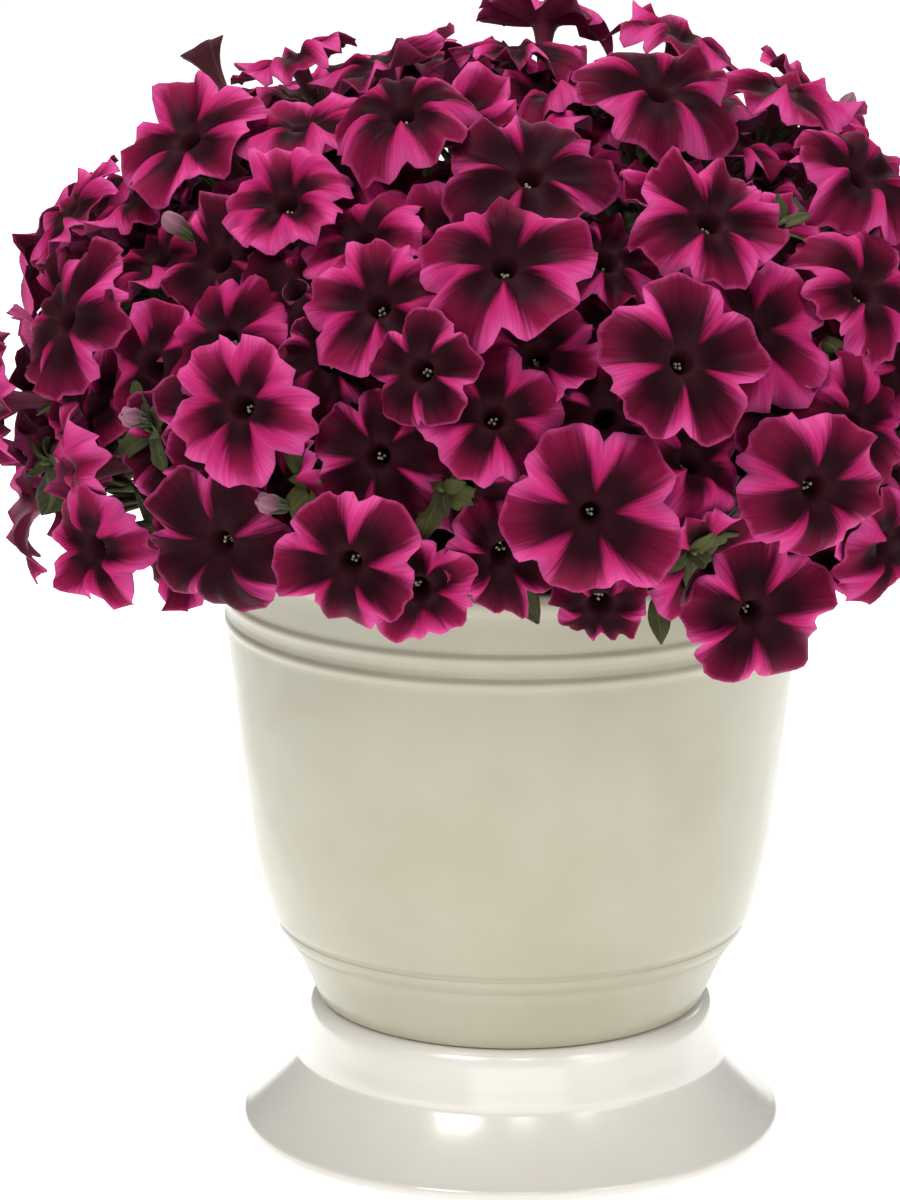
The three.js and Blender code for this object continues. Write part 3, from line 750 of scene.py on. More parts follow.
@dataclass
class Pot(TurnedForm):
    """The bell-shaped pot: a body line through a few radii, with beads, grooves and ridges laid on it."""

    base: float = 66.3
    rim_height: float = 311.0
    wall: float = 5.0
    drain_radius: float = 9.0
    body: tuple = (
        (66.3, 97.8),
        (80.0, 104.0),
        (92.0, 109.6),
        (100.0, 114.9),
        (108.5, 119.6),
        (114.0, 122.4),
        (122.0, 124.6),
        (135.0, 128.0),
        (150.0, 131.0),
        (180.0, 134.9),
        (220.0, 139.4),
        (258.0, 143.2),
        (290.0, 145.2),
        (311.0, 146.2),
    )
    # a relief's height, half-width and depth, outward
    reliefs: tuple = (
        (100.2, 1.7, -0.8),
        (104.8, 3.4, 1.1),
        (109.2, 1.8, -0.9),
        (265.5, 3.6, 1.25),
        (271.8, 3.0, -0.4),
        (278.0, 3.6, 1.2),
        (305.0, 6.5, 2.0),
    )

    def radius_at(self, height: float) -> float:
        """Returns the outer radius at a height."""
        heights, radii = zip(*self.body)
        i = int(np.clip(np.searchsorted(heights, height) - 1, 0, len(heights) - 2))
        slopes = np.gradient(radii, heights)
        span = heights[i + 1] - heights[i]
        t = (height - heights[i]) / span
        radius = (2 * t**3 - 3 * t**2 + 1) * radii[i] + (t**3 - 2 * t**2 + t) * span * slopes[i]
        radius += (-2 * t**3 + 3 * t**2) * radii[i + 1] + (t**3 - t**2) * span * slopes[i + 1]
        for middle, half, rise in self.reliefs:
            near = abs(height - middle) / half
            if near < 1:
                radius += rise * math.cos(near * math.pi / 2) ** 1.5
        return float(radius)

    def heights(self) -> list[float]:
        """Returns the heights of the outer wall's rows, close together across a relief."""
        rows = list(np.arange(self.base + 1.2, self.rim_height - 2.2, 8.0))
        for middle, half, _ in self.reliefs:
            rows += list(np.linspace(middle - half, middle + half, 9))
        return sorted({round(h, 2) for h in rows if h < self.rim_height - 2.0})

    def build(self, finishes: Finishes) -> None:
        """Makes the pot and seats it."""
        foot = self.radius_at(self.base)
        outside = [(foot - 1.4, self.base), (foot - 0.4, self.base + 0.4)]
        outside += [(self.radius_at(h), h) for h in self.heights()]
        rim = self.radius_at(self.rim_height - 2.2)
        top = self.rim_height
        drops = ((0.1, 1.4), (0.9, 0.4), (2.2, 0), (4.6, 0), (6.0, 0.6))
        lip = [(rim - inwards, top - down) for inwards, down in drops]
        inner = [(rim - 6.8, top - 2.0), (rim - 7.0, top - 8.0)]
        for h in (284.0, 240.0, 190.0, 150.0, 120.0):
            inner.append((self.radius_at(h) - self.wall - (3 if h > 260 else 0), h))
        floor = self.base + self.wall
        inner += [(106.0, 96.0), (97.5, floor + 5), (93.5, floor)]
        inner += [(self.drain_radius, height) for height in (floor, self.base)]
        piece = self.turn([*outside, *lip, *inner]).make("planter_pot", [finishes.pot])
        seat(piece, Slot.POT, "pot")


@dataclass
class Soil(TurnedForm):
    """The potting mix: a lumpy dome with loose crumbs of bark pressed into it."""

    segments: int = 120
    top: float = 296.0
    dome: float = 2.0
    wall: tuple = ((92.6, 71.7), (97.0, 77.7), (118.0, 120.0), (125.6, 150.0), (133.6, 230.0), (136.4, 290.0))
    crumbs: int = 260
    seed: int = 811

    def lump(self, x: np.ndarray, y: np.ndarray) -> np.ndarray:
        """Returns how far the surface stands up at a place."""
        broad = 1.6 * np.sin(x * 0.11 + 1.3) * np.cos(y * 0.13)
        return broad + 0.9 * np.sin(x * 0.31 + y * 0.23) + 0.5 * np.sin(x * 0.71 - y * 0.63 + 2.0)

    def build(self, finishes: Finishes) -> None:
        """Makes the soil and seats it."""
        sides = [(12.0, self.wall[0][1]), *self.wall]
        draft = self.turn([*sides, *((r, self.top - 1.0) for r in np.linspace(134.5, 3.0, 30))], capped=True)
        crown = draft.points[0][len(sides) * self.segments :]
        x, y = crown[:, 0], crown[:, 1]
        crown[:, 2] += self.dome * (1 - (np.hypot(x, y) / 136) ** 2) + self.lump(x, y)
        self.add_crumbs(draft)
        seat(draft.make("potting_mix", [finishes.soil]), Slot.SOIL, "soil")

    def add_crumbs(self, draft: Draft) -> None:
        """Adds the crumbs: small eight-sided chips at odd angles."""
        chance = Chance(self.seed)
        corners = np.array([[1, 0, 0], [0, 1, 0], [-1, 0, 0], [0, -1, 0], [0, 0, 1], [0, 0, -1]], float)
        sides = [(i, (i + 1) % 4, 4) for i in range(4)] + [((i + 1) % 4, i, 5) for i in range(4)]
        for _ in range(self.crumbs):
            place = at(360 * chance.share(), 128 * math.sqrt(chance.share()), self.top + 0.8)
            place[2] += float(self.lump(place[0], place[1]))
            size = np.array([chance.between(1.5, 4.5), chance.between(1.0, 2.6), chance.between(0.6, 1.5)])
            axis = unit(np.array([chance.between(-1, 1), chance.between(-1, 1), 2.0]))
            turn = 360 * chance.share()
            chip = np.array([turned_about(corner * size, axis, turn) for corner in corners])
            first = draft.add_points(place + chip)
            draft.add_faces([[first + i for i in side] for side in sides])


# ---- Where the flowers and the leaf tufts stand ----


@dataclass(frozen=True)
class Mound:
    """The surface that the flowers' faces lie on, widest at one height and turned in below it."""

    radius: float = 253.0
    widest: float = 374.0
    above: float = 185.0
    below: float = 112.0
    fullness: float = 2.6
    hem: float = 304.0
    crown: float = 559.0

    def radius_at(self, height: float) -> float:
        """Returns the surface's radius at a height."""
        if height >= self.widest:
            return self.radius * math.sqrt(1 - ((height - self.widest) / self.above) ** 2)
        power = self.fullness
        return self.radius * (1 - ((self.widest - height) / self.below) ** power) ** (1 / power)

    def pitch_at(self, height: float) -> float:
        """Returns how far above level the surface faces at a height."""
        if height < self.widest:
            return -4 * ((self.widest - height) / self.below)
        outward = self.radius_at(height) / self.radius**2
        return math.degrees(math.atan2((height - self.widest) / self.above**2, outward))

    def point(self, azimuth: float, height: float) -> np.ndarray:
        """Returns the surface's point at an azimuth and a height."""
        return at(azimuth, self.radius_at(height), height)


@dataclass
class Head:
    """A flower or a leaf tuft: where it stands, which way it faces, and the planes that it keeps behind."""

    azimuth: float
    height: float
    radius: float
    centre: np.ndarray
    axis: np.ndarray
    piece: str
    rim: np.ndarray = field(default_factory=lambda: np.zeros((0, 3)))
    fences: list = field(default_factory=list)


@dataclass(frozen=True)
class Overlap:
    """A neighbour's face that a flower's face lies over or under.

    The share is how much of the room between the two this flower makes, and the sign is 1 where it is in front.
    """

    centre: np.ndarray
    axis: np.ndarray
    radius: float
    sign: float
    share: float


@dataclass
class Flower(Head):
    """A flower, with the depth of its face and the side that its first lobe points to."""

    point: np.ndarray = None
    depth: float = 0.0
    side: np.ndarray = None
    tier: Tier = Tier.LOW
    sector: int = 0
    lifts: np.ndarray = None
    reaches: np.ndarray = None
    tone: float = 0.5
    filler: bool = False
    overlaps: list = field(default_factory=list)

    @property
    def other(self) -> np.ndarray:
        """The direction in the face that is square to its side."""
        return np.cross(self.axis, self.side)

    def overlap_with(self, near: "Flower") -> Overlap:
        """Returns how another flower's face lies against this one's."""
        if self.filler != near.filler:
            sign = -1.0 if self.filler else 1.0
            return Overlap(near.centre, near.axis, near.radius, sign, float(self.filler))
        mean = unit(self.axis + near.axis)
        middle = (self.centre + near.centre) / 2
        mine, theirs = (np.dot(f.centre - middle, f.axis) / np.dot(mean, f.axis) for f in (self, near))
        return Overlap(near.centre, near.axis, near.radius, 1.0 if mine > theirs else -1.0, 0.5)


def over_face(points: np.ndarray, face: "Flower | Overlap") -> tuple[np.ndarray, np.ndarray]:
    """Returns how high points stand over a face and how far they stand aside from its axis."""
    out = points - face.centre
    height = out @ face.axis
    return height, np.linalg.norm(out - height[..., None] * face.axis, axis=-1)


class Layout:
    """Places every flower and tuft by the same rule as the solid model does."""

    LOBES = 5
    NOTCH = 0.8
    LOBE_HALF_ANGLE = 17
    RUFFLE = 2.4
    LAYERS = (-4, 8, 20)
    COUNT = 98
    SIZES = (66, 78)
    LEAN = 14
    CLEAR = 0.45
    TRIALS = 240
    TUFT_RADIUS = 26
    TUFT_DEPTH = 15
    # over the pot's face the lowest flowers are smaller and tucked up: half-width, height and share of size
    FRONT_HEM = (75, 336, 0.72)

    # the flowers of the front, the foremost first: azimuth, height, diameter, nod and swing
    FRONT = (
        (-1, 480, 78, 0, 0), (19, 440, 76, 4, 4), (8, 377, 78, -4, -6), (33, 380, 68, 0, -6),
        (30, 315, 72, 2, -12), (32, 458, 80, 4, -6), (-17, 351, 68, 4, 0), (-15.5, 400, 62, 0, 6),
        (-34, 350, 74, 0, 6), (-30, 417, 68, 0, 4), (-2, 421, 66, -8, 6), (-39, 450, 74, 6, 8),
        (-17, 468, 66, 4, 0), (3, 521, 80, 6, 0), (-68, 513, 76, 8, 24), (38, 540, 76, 8, -10),
        (-62, 436, 76, 0, 8), (28, 494, 68, 4, -8), (62, 500, 72, 4, -14), (-24, 534, 72, 8, 4),
        (-24, 500, 64, 6, -8), (-38, 505, 64, 4, 10), (31, 518, 58, 6, 6), (50, 462, 70, 0, -8),
        (44, 404, 64, 0, -4), (21, 396, 54, -24, 20), (3, 453, 60, -10, 0), (-10, 438, 52, 10, -12),
        (-23, 447, 50, 0, 20), (14, 494, 54, 0, 10), (-57, 368, 62, 8, -28), (-52, 336, 58, 4, 6),
        (-69, 338, 62, 6, -24), (-80, 384, 66, 0, 0), (-1, 352, 56, 12, 14), (10, 328, 44, 20, -6),
        (47, 341, 60, 6, 8), (-60, 476, 62, -6, 0), (-43, 548, 60, 4, 0), (26, 554, 62, -30, 10),
        (60, 533, 56, 6, 10), (-86, 470, 64, 0, 8), (-76, 492, 60, 0, -10), (-104, 540, 62, 8, 0),
    )
    OUTER_TUFTS = (
        (-8, 385), (21, 350), (46, 428), (97, 350), (110, 422), (161, 347), (172, 411), (-140, 352),
        (-128, 425), (-79, 352), (-47, 398), (-22, 385),
    )
    INNER_TUFTS = ((47, 500), (150, 510), (-98, 505))
    # how far the magenta spreads on each of the front's flowers, 0 to 1
    TONES = (
        (0.55, 0.3, 0.5, 0.45, 0.35, 0.85, 0.4, 0.15, 0.05, 0.9, 0.6)
        + (0.75, 0.6, 0.15, 0.6, 0.3, 0.3, 0.45, 0.4, 0.5, 0.95, 1.0)
        + (0.65, 0.5, 0.6, 0.75, 0.7, 0.2, 0.1, 0.3, 0.8, 0.7, 0.2)
        + (0.3, 0.25, 0.3, 0.55, 0.6, 0.8, 0.5, 0.6, 0.55, 0.5, 0.5)
    )
    LAYER_REACH = 78
    DEPTH_COST = 0.0004
    FILLERS = 120
    FILLER_TRIALS = 150
    FILLER_HEM = 340
    FILLER_DEPTHS = (13, 32)
    FILLER_SIZES = (54, 70)
    FILLER_LEAN = 28

    def __init__(self, mound: Mound, chance: Chance, filler_chance: Chance) -> None:
        """Works out the whole layout."""
        self.mound = mound
        self.chance = chance
        self.tufts = self.make_tufts()
        self.flowers = self.make_flowers(self.make_places())
        self.fence_in()
        for i, flower in enumerate(self.flowers):
            flower.tone = self.TONES[i] if i < len(self.TONES) else filler_chance.between(0.1, 0.95)
        self.flowers += self.make_fillers(filler_chance)
        self.find_overlaps()

    def make_tufts(self) -> list[Head]:
        """Returns the tufts, the outer stems' first."""
        tufts = []
        for number, (azimuth, height) in enumerate(self.OUTER_TUFTS + self.INNER_TUFTS):
            axis = facing(azimuth, self.mound.pitch_at(height))
            centre = self.mound.point(azimuth, height) - self.TUFT_DEPTH * axis
            tufts.append(Head(azimuth, height, self.TUFT_RADIUS, centre, axis, f"tuft_{number}"))
        return tufts

    def roomiest(
        self, chance: Chance, taken: Sequence[np.ndarray], reach: object, lowest: float, trials: int
    ) -> tuple[float, float]:
        """Returns the azimuth and height, of some tried, that lie furthest from what is there already.

        Args:
            chance: The source of the trials.
            taken: The points that are taken.
            reach: How far what stands at each of them reaches.
            lowest: The least height to try.
            trials: How many places to try.

        Returns:
            The azimuth and the height.
        """
        best, best_room = None, -math.inf
        for _ in range(trials):
            trial = (chance.between(-180, 180), chance.between(lowest, self.mound.crown))
            room = (np.linalg.norm(np.array(taken) - self.mound.point(*trial), axis=1) - reach).min()
            if room > best_room:
                best, best_room = trial, room
        return best

    def make_places(self) -> list[tuple[float, ...]]:
        """Returns azimuth, height, diameter, nod and swing for every flower."""
        between, mound = self.chance.between, self.mound
        places = list(self.FRONT)
        taken = [mound.point(place[0], place[1]) for place in places]
        taken += [mound.point(tuft.azimuth, tuft.height) for tuft in self.tufts]
        reach = [p[2] / 2 for p in places] + [self.TUFT_RADIUS / 2] * len(self.tufts)
        while len(places) < self.COUNT:
            best = self.roomiest(self.chance, taken, reach, mound.hem, self.TRIALS)
            size = between(*self.SIZES)
            taken.append(mound.point(*best))
            reach.append(size / 2)
            nod, swing = between(-self.LEAN, self.LEAN), between(-self.LEAN, self.LEAN)
            places.append(self.tucked_up((*best, size, nod, swing)))
        return places

    def tucked_up(self, place: tuple[float, ...]) -> tuple[float, ...]:
        """Returns a flower's place, raised and smaller where it would hang below the hem of the front."""
        azimuth, height, size, *leans = place
        half_width, hem, share = self.FRONT_HEM
        return (azimuth, hem, size * share, *leans) if abs(azimuth) <= half_width and height <= hem else place

    def free_layer(self, point: np.ndarray, earlier: list[Flower]) -> float:
        """Returns the depth that lies furthest from the depths of the flowers close by."""
        near = [
            (1 - np.linalg.norm(point - flower.point) / self.LAYER_REACH, flower.depth) for flower in earlier
        ]

        def cost(depth: float) -> float:
            """Returns how crowded a depth is."""
            crowding = sum(share / (1 + abs(depth - other)) for share, other in near if share > 0)
            return depth * self.DEPTH_COST + crowding

        return min(self.LAYERS, key=cost)

    def flower_at(
        self, azimuth: float, height: float, depth: float, axis: np.ndarray, turn: float, size: float
    ) -> Flower:
        """Returns a flower, without its rim.

        Args:
            azimuth: The azimuth of its place on the mound.
            height: The height of that place.
            depth: How far behind the mound's surface it stands.
            axis: The way that it faces.
            turn: The turn of its first lobe about its axis.
            size: Its diameter.

        Returns:
            The flower.
        """
        point, tier = self.mound.point(azimuth, height), Tier.of(height)
        sector = tier.sector_of(azimuth)
        centre = point - depth * facing(azimuth, self.mound.pitch_at(height))
        side = turned_about(unit(np.cross([0, 0, 1], axis)), axis, turn)
        place = {"point": point, "depth": depth, "side": side, "tier": tier, "sector": sector}
        return Flower(azimuth, height, size / 2, centre, axis, f"{tier.label}_{sector}", **place)

    def make_flowers(self, places: Sequence[tuple[float, ...]]) -> list[Flower]:
        """Returns the flowers at their places, each in a free layer and with its rim."""
        flowers: list[Flower] = []
        for azimuth, height, size, nod, swing in places:
            depth = self.free_layer(self.mound.point(azimuth, height), flowers)
            axis = facing(azimuth + swing, self.mound.pitch_at(height) - nod)
            flower = self.flower_at(azimuth, height, depth, axis, 360 * self.chance.share(), size)
            self.shape_rim(flower)
            flowers.append(flower)
        return flowers

    def shape_rim(self, flower: Flower) -> None:
        """Gives a flower its rim of three points for each lobe, ruffled a little."""
        step = 360 / self.LOBES
        cup = flower.radius * (0.02 + 0.1 * self.chance.share())
        corners = ((-step / 2, self.NOTCH, -1.5), (-self.LOBE_HALF_ANGLE, 1, 0), (self.LOBE_HALF_ANGLE, 1, 0))
        rim = []
        for lobe in range(self.LOBES):
            for offset, share, rise in corners:
                swell = 0.96 + 0.06 * self.chance.share()
                lift = rise + cup + self.RUFFLE * (2 * self.chance.share() - 1)
                rim.append((math.radians(step * lobe + offset), swell, lift, flower.radius * share * swell))
        angles, flower.reaches, flower.lifts, out = np.array(rim).T
        spread = out[:, None] * spokes(flower.side, flower.other, angles)
        flower.rim = flower.centre + spread + flower.lifts[:, None] * flower.axis

    def make_fillers(self, chance: Chance) -> list[Flower]:
        """Returns the half-hidden flowers that fill the gaps, deeper in the mound."""
        fillers, between, lean = [], chance.between, self.FILLER_LEAN
        taken = [flower.point for flower in self.flowers]
        for _ in range(self.FILLERS):
            azimuth, height = self.roomiest(chance, taken, 0.0, self.FILLER_HEM, self.FILLER_TRIALS)
            axis = facing(azimuth + between(-lean, lean), self.mound.pitch_at(height) + between(-lean, lean))
            depth, turn = between(*self.FILLER_DEPTHS), 360 * chance.share()
            size = between(*self.FILLER_SIZES)
            filler = self.flower_at(azimuth, height, depth, axis, turn, size)
            filler.filler, filler.tone = True, between(0.05, 0.9)
            filler.lifts, filler.reaches = (
                np.array([between(*ends) for _ in range(3 * self.LOBES)]) for ends in ((-2, 5), (0.9, 1.02))
            )
            taken.append(filler.point)
            fillers.append(filler)
        return fillers

    def find_overlaps(self) -> None:
        """Gives each flower the neighbours' faces that overlap its own."""
        for i, a in enumerate(self.flowers):
            for b in self.flowers[i + 1 :]:
                if np.linalg.norm(a.centre - b.centre) < 0.98 * (a.radius + b.radius):
                    a.overlaps.append(a.overlap_with(b))
                    b.overlaps.append(b.overlap_with(a))

    def plane_between(self, a: Head, b: Head) -> tuple[np.ndarray, np.ndarray]:
        """Returns the normal and a point of the plane between two heads that cuts them back least."""
        mean = unit(a.axis + b.axis)
        apart = b.centre - a.centre
        rise = float(np.dot(apart, mean))
        level = apart - rise * mean
        middle = a.centre + apart * (a.radius / (a.radius + b.radius))
        roomy = np.linalg.norm(level) > max(a.radius, b.radius) + 9
        best, least = None, math.inf
        for tilt in (0, 35, 55, 70) if roomy else (0,):
            normal = spokes(unit(level), mean * np.sign(rise), math.radians(tilt))
            loss = np.maximum(0, (a.rim - middle) @ normal + self.CLEAR).sum()
            loss += np.maximum(0, -((b.rim - middle) @ normal) + self.CLEAR).sum()
            if loss < least:
                best, least = normal, loss
        return best, middle

    def fence_in(self) -> None:
        """Gives each head the planes between it and the heads of other pieces close by."""
        heads: list[Head] = [*self.flowers, *self.tufts]
        for i, a in enumerate(heads):
            for b in heads[i + 1 :]:
                near = np.linalg.norm(a.centre - b.centre) <= a.radius + b.radius + 10
                if a.piece != b.piece and near:
                    normal, middle = self.plane_between(a, b)
                    a.fences.append((normal, middle))
                    b.fences.append((-normal, middle))


# ---- Flowers ----


def petal_values(
    angle: np.ndarray, reach: np.ndarray, seam: object, tone: float, odd: float = 0.0
) -> dict[str, np.ndarray]:
    """Returns what the petals' materials read at each point of a grid.

    Args:
        angle: The angle round the flower of each column.
        reach: How far outward each row lies.
        seam: How near each column is to a seam between lobes.
        tone: How far the magenta spreads.
        odd: A number that differs from flower to flower.

    Returns:
        The values by attribute.
    """
    polar = np.broadcast_arrays(np.cos(angle), np.sin(angle), reach[:, None])
    traits = np.broadcast_arrays(seam, tone, odd, polar[2])[:3]
    return {"petal_polar": np.stack(polar, -1), "petal_traits": np.stack(traits, -1)}


@dataclass
class Corolla:
    """A petunia's corolla: a narrow tube that opens into a limb of five pleated and ruffled lobes."""

    columns: int = 66
    limb_rows: int = 10
    thickness: float = 0.5
    tube_length: float = 36.0
    throat_radius: float = 7.0
    notch: tuple = (0.14, 0.26)
    notch_power: float = 8.0
    roundness: float = 0.08
    tip: tuple = (-0.03, 0.05)
    lobe_reach: tuple = (0.92, 1.06)
    funnel: tuple = (0.2, 0.9)
    curl: tuple = (-0.2, 0.46)
    twist: float = 3.6
    seam_ridge: tuple = (3.2, 6.2)
    trough: tuple = (2.6, 6.4)
    # waves round the margin: the least and the most of them, and their height
    ruffles: tuple = ((6, 8, 2.2), (10, 13, 2.8), (15, 18, 2.1))
    scallop: float = 0.018
    overreach: float = 1.07
    clearance: float = 7.2
    under: float = 1.5
    tube_room: float = 17.0
    most_bend: float = 24.0
    # the tube's inside from its foot to the throat: height and radius
    throat: tuple = ((-33.0, 1.7), (-18.0, 3.0), (-9.0, 4.0), (-4.2, 5.0), (-1.5, 6.0))

    def round(self) -> tuple[np.ndarray, np.ndarray]:
        """Returns the angle and the signed place in its lobe, -1 to 1, of each column."""
        angle = math.radians(-36) + np.linspace(0, 2 * math.pi, self.columns, endpoint=False)
        place = 2 * ((angle * 5 / (2 * math.pi) + 0.5) % 1) - 1
        return angle, place

    def around(self, values: np.ndarray, angle: np.ndarray) -> np.ndarray:
        """Returns rim values, given at three corners a lobe, eased in between at each angle."""
        corners = np.radians([72 * lobe + offset for lobe in range(5) for offset in (-36, -17, 17)])
        wrapped = np.concatenate([corners, [corners[0] + 2 * math.pi]])
        return np.interp(angle, wrapped, np.concatenate([values, values[:1]]))

    def by_lobe(self, values: Sequence[float], angle: np.ndarray) -> np.ndarray:
        """Returns a value for each lobe, eased from lobe to lobe at each angle."""
        spread = []
        for lobe, value in enumerate(values):
            spread += [(value + values[lobe - 1]) / 2, value, value]
        return self.around(np.array(spread), angle)

    def outline(self, flower: Flower, angle: np.ndarray, place: np.ndarray, chance: Chance) -> np.ndarray:
        """Returns the margin's radius at each column."""
        seam = np.abs(place)
        shape = 1 - chance.between(*self.notch) * seam**self.notch_power - self.roundness * seam**2.2
        shape += chance.between(*self.tip) * np.exp(-((place / 0.3) ** 2))
        for count in (chance.between(7, 12), chance.between(15, 19)):
            shape = shape * (1 + self.scallop * np.sin(round(count) * angle + 2 * math.pi * chance.share()))
        lobes = self.by_lobe([chance.between(*self.lobe_reach) for _ in range(5)], angle)
        return self.overreach * flower.radius * shape * lobes * self.around(flower.reaches, angle)

    def limb(self, flower: Flower, chance: Chance) -> tuple[np.ndarray, np.ndarray, np.ndarray]:
        """Returns the corolla's inside in flower axes, each row's reach and each column's place by the seam.

        Args:
            flower: The flower.
            chance: The source for its pleats, curls and ruffles.

        Returns:
            The points by row and column, the rows' reach from 0 at the throat to 1 at the margin, and the
            columns' seam values from 0 in a lobe's middle to 1 at a seam.
        """
        angle, place = self.round()
        seam = np.abs(place)
        margin = self.outline(flower, angle, place, chance)
        lift = self.around(flower.lifts, angle)
        curl = self.by_lobe([chance.between(*self.curl) for _ in range(5)], angle) * flower.radius
        funnel = chance.between(*self.funnel) * flower.radius
        ridge = chance.between(*self.seam_ridge) * np.exp(-(((1 - seam) / 0.2) ** 2))
        trough = chance.between(*self.trough) * (1 - place**2) ** 1.5
        twist = self.by_lobe([chance.between(-self.twist, self.twist) for _ in range(5)], angle)
        twist = twist * np.sin(math.pi * place)
        waves = np.zeros(self.columns)
        for least, most, size in self.ruffles:
            count, phase = round(chance.between(least, most)), 2 * math.pi * chance.share()
            waves += size * chance.between(0.6, 1.3) * np.sin(count * angle + phase)
        ring = np.stack([np.cos(angle), np.sin(angle)], -1)
        rows = [
            np.column_stack([radius * ring, np.full(self.columns, height)]) for height, radius in self.throat
        ]
        reach = [height / self.tube_length for height, _ in self.throat]
        for t in np.linspace(0, 1, self.limb_rows) ** 0.92:
            radius = self.throat_radius + (margin - self.throat_radius) * t
            height = lift * t**1.5 + funnel * (t - t * t) - curl * t**3.2
            sunk = math.sin(math.pi * min(1, t**0.85 * 0.96))
            height = height + ridge * t**0.6 * (1 - 0.5 * t) - trough * sunk
            height = height + twist * t**1.8 + waves * t**2.4 - 0.4
            rows.append(np.column_stack([radius[:, None] * ring, height]))
            reach.append(t)
        return np.array(rows), np.array(reach), seam

    def settle(self, points: np.ndarray, flower: Flower) -> np.ndarray:
        """Bends petals over or under the neighbours' faces that they meet."""
        settled = points.copy()
        for near in flower.overlaps:
            if near.share == 0:
                continue
            height, aside = over_face(settled, near)
            weight = 1 - smoothstep(aside, 0.78 * near.radius, 1.16 * near.radius)
            room = self.clearance
            if near.sign < 0:
                room = room + self.under + self.tube_room * np.exp(-((aside / 11) ** 2))
            short = np.maximum(0, room - near.sign * height) * weight * near.share
            bend = np.minimum(short, self.most_bend)
            settled += (near.sign * bend)[..., None] * unit(near.axis + flower.axis)
        return settled

    def add(self, draft: Draft, flower: Flower, chance: Chance) -> None:
        """Adds the corolla to a draft as one closed sheet.

        Args:
            draft: The draft of the flower's spray.
            flower: The flower.
            chance: The source for its ruffles.
        """
        face, reach, seam = self.limb(flower, chance)
        tube_rows = len(self.throat)
        basis = np.array([flower.side, flower.other, flower.axis])
        front = flower.centre + face @ basis
        front[tube_rows:] = self.settle(front[tube_rows:], flower)
        behind = face.copy()
        behind[:tube_rows, :, :2] *= 1 + self.thickness / np.array([r for _, r in self.throat])[:, None, None]
        back = flower.centre + behind @ basis
        back[tube_rows:] = front[tube_rows:] - self.thickness * flower.axis
        values = petal_values(self.round()[0], reach, seam, flower.tone, chance.share())
        inner = draft.add_grid(front, 0, flip=False, **values)
        outer = draft.add_grid(back, 1, flip=True, **values)
        draft.bridge(inner[-1], outer[-1], 0)
        draft.cap(inner[0], 0, flip=True)
        draft.cap(outer[0], 1, flip=False)


@dataclass
class Anthers:
    """The pale anthers and the stigma, close together low in the throat."""

    count: int = 4
    depth: float = 7.5
    ring: float = 1.7
    size: float = 0.85
    filament_foot: float = -24.0
    filament_radius: float = 0.25

    def add(self, draft: Draft, flower: Flower, chance: Chance) -> None:
        """Adds the anthers on their filaments."""
        for i in range(self.count):
            turn = math.radians(360 / self.count * i + 50 * chance.share())
            spoke = spokes(flower.side, flower.other, turn)
            ring = self.ring * chance.between(0.5, 1.1)
            tip = flower.centre + ring * spoke - (self.depth + chance.between(-1.6, 2.2)) * flower.axis
            foot = flower.centre + 0.5 * spoke + self.filament_foot * flower.axis
            line = smooth_line([foot, (foot + tip) / 2 + 0.3 * spoke, tip], 5)
            sweep(draft, line, [self.filament_radius] * 2, 4, 2)
            bulb = tip + np.outer(np.linspace(-0.8, 0.8, 4), flower.axis)
            sweep(draft, bulb, self.size * np.array([0.5, 1.0, 0.95, 0.4]), 6, 2)


@dataclass(frozen=True)
class Sepal:
    """A narrow tapering strap that stands off the tube."""

    radii: tuple = (1.1, 1.55, 1.5, 1.0, 0.3)
    sides: int = 5
    bow: float = 1.2
    tone: float = 0.6

    def add(
        self,
        draft: Draft,
        base: np.ndarray,
        axis: np.ndarray,
        spoke: np.ndarray,
        length: float,
        spread: float,
    ) -> None:
        """Adds one sepal.

        Args:
            draft: The draft to add to.
            base: Its foot.
            axis: The way that the flower faces.
            spoke: The way out from the flower's axis.
            length: How far it reaches along the axis.
            spread: How far its tip stands out.
        """
        line = [base, base + 0.5 * length * axis + self.bow * spoke, base + length * axis + spread * spoke]
        sweep(draft, smooth_line(line, 5), self.radii, self.sides, 0, self.tone)


@dataclass
class Stalk:
    """The calyx of five narrow sepals and the stalk under it."""

    foot_depth: float = 37.0
    sepal_length: float = 15.0
    radius: float = 0.95
    tone: float = 0.6
    sepal: Sepal = field(default_factory=Sepal)

    def add(self, draft: Draft, flower: Flower, root: np.ndarray, chance: Chance) -> None:
        """Adds the calyx and a stalk from it down to its root in the shoot."""
        axis = flower.axis
        foot = flower.centre - self.foot_depth * axis
        away = foot - 12 * axis
        line = smooth_line([foot + 1.5 * axis, foot, 0.45 * away + 0.25 * foot + 0.3 * root, root], 11)
        sweep(draft, line, (1.15 * self.radius, 1.3 * self.radius), 6, 0, self.tone)
        cup = foot + np.outer([-0.6, 1.0, 3.0, 5.0], axis)
        sweep(draft, cup, (1.2, 2.6, 3.3, 3.2), 12, 0, self.tone)
        for i in range(5):
            spoke = spokes(flower.side, flower.other, math.radians(72 * i + 36))
            length = self.sepal_length * chance.between(0.85, 1.15)
            base = foot + 3.4 * axis + 2.3 * spoke
            self.sepal.add(draft, base, axis, spoke, length, chance.between(3.5, 6.5))


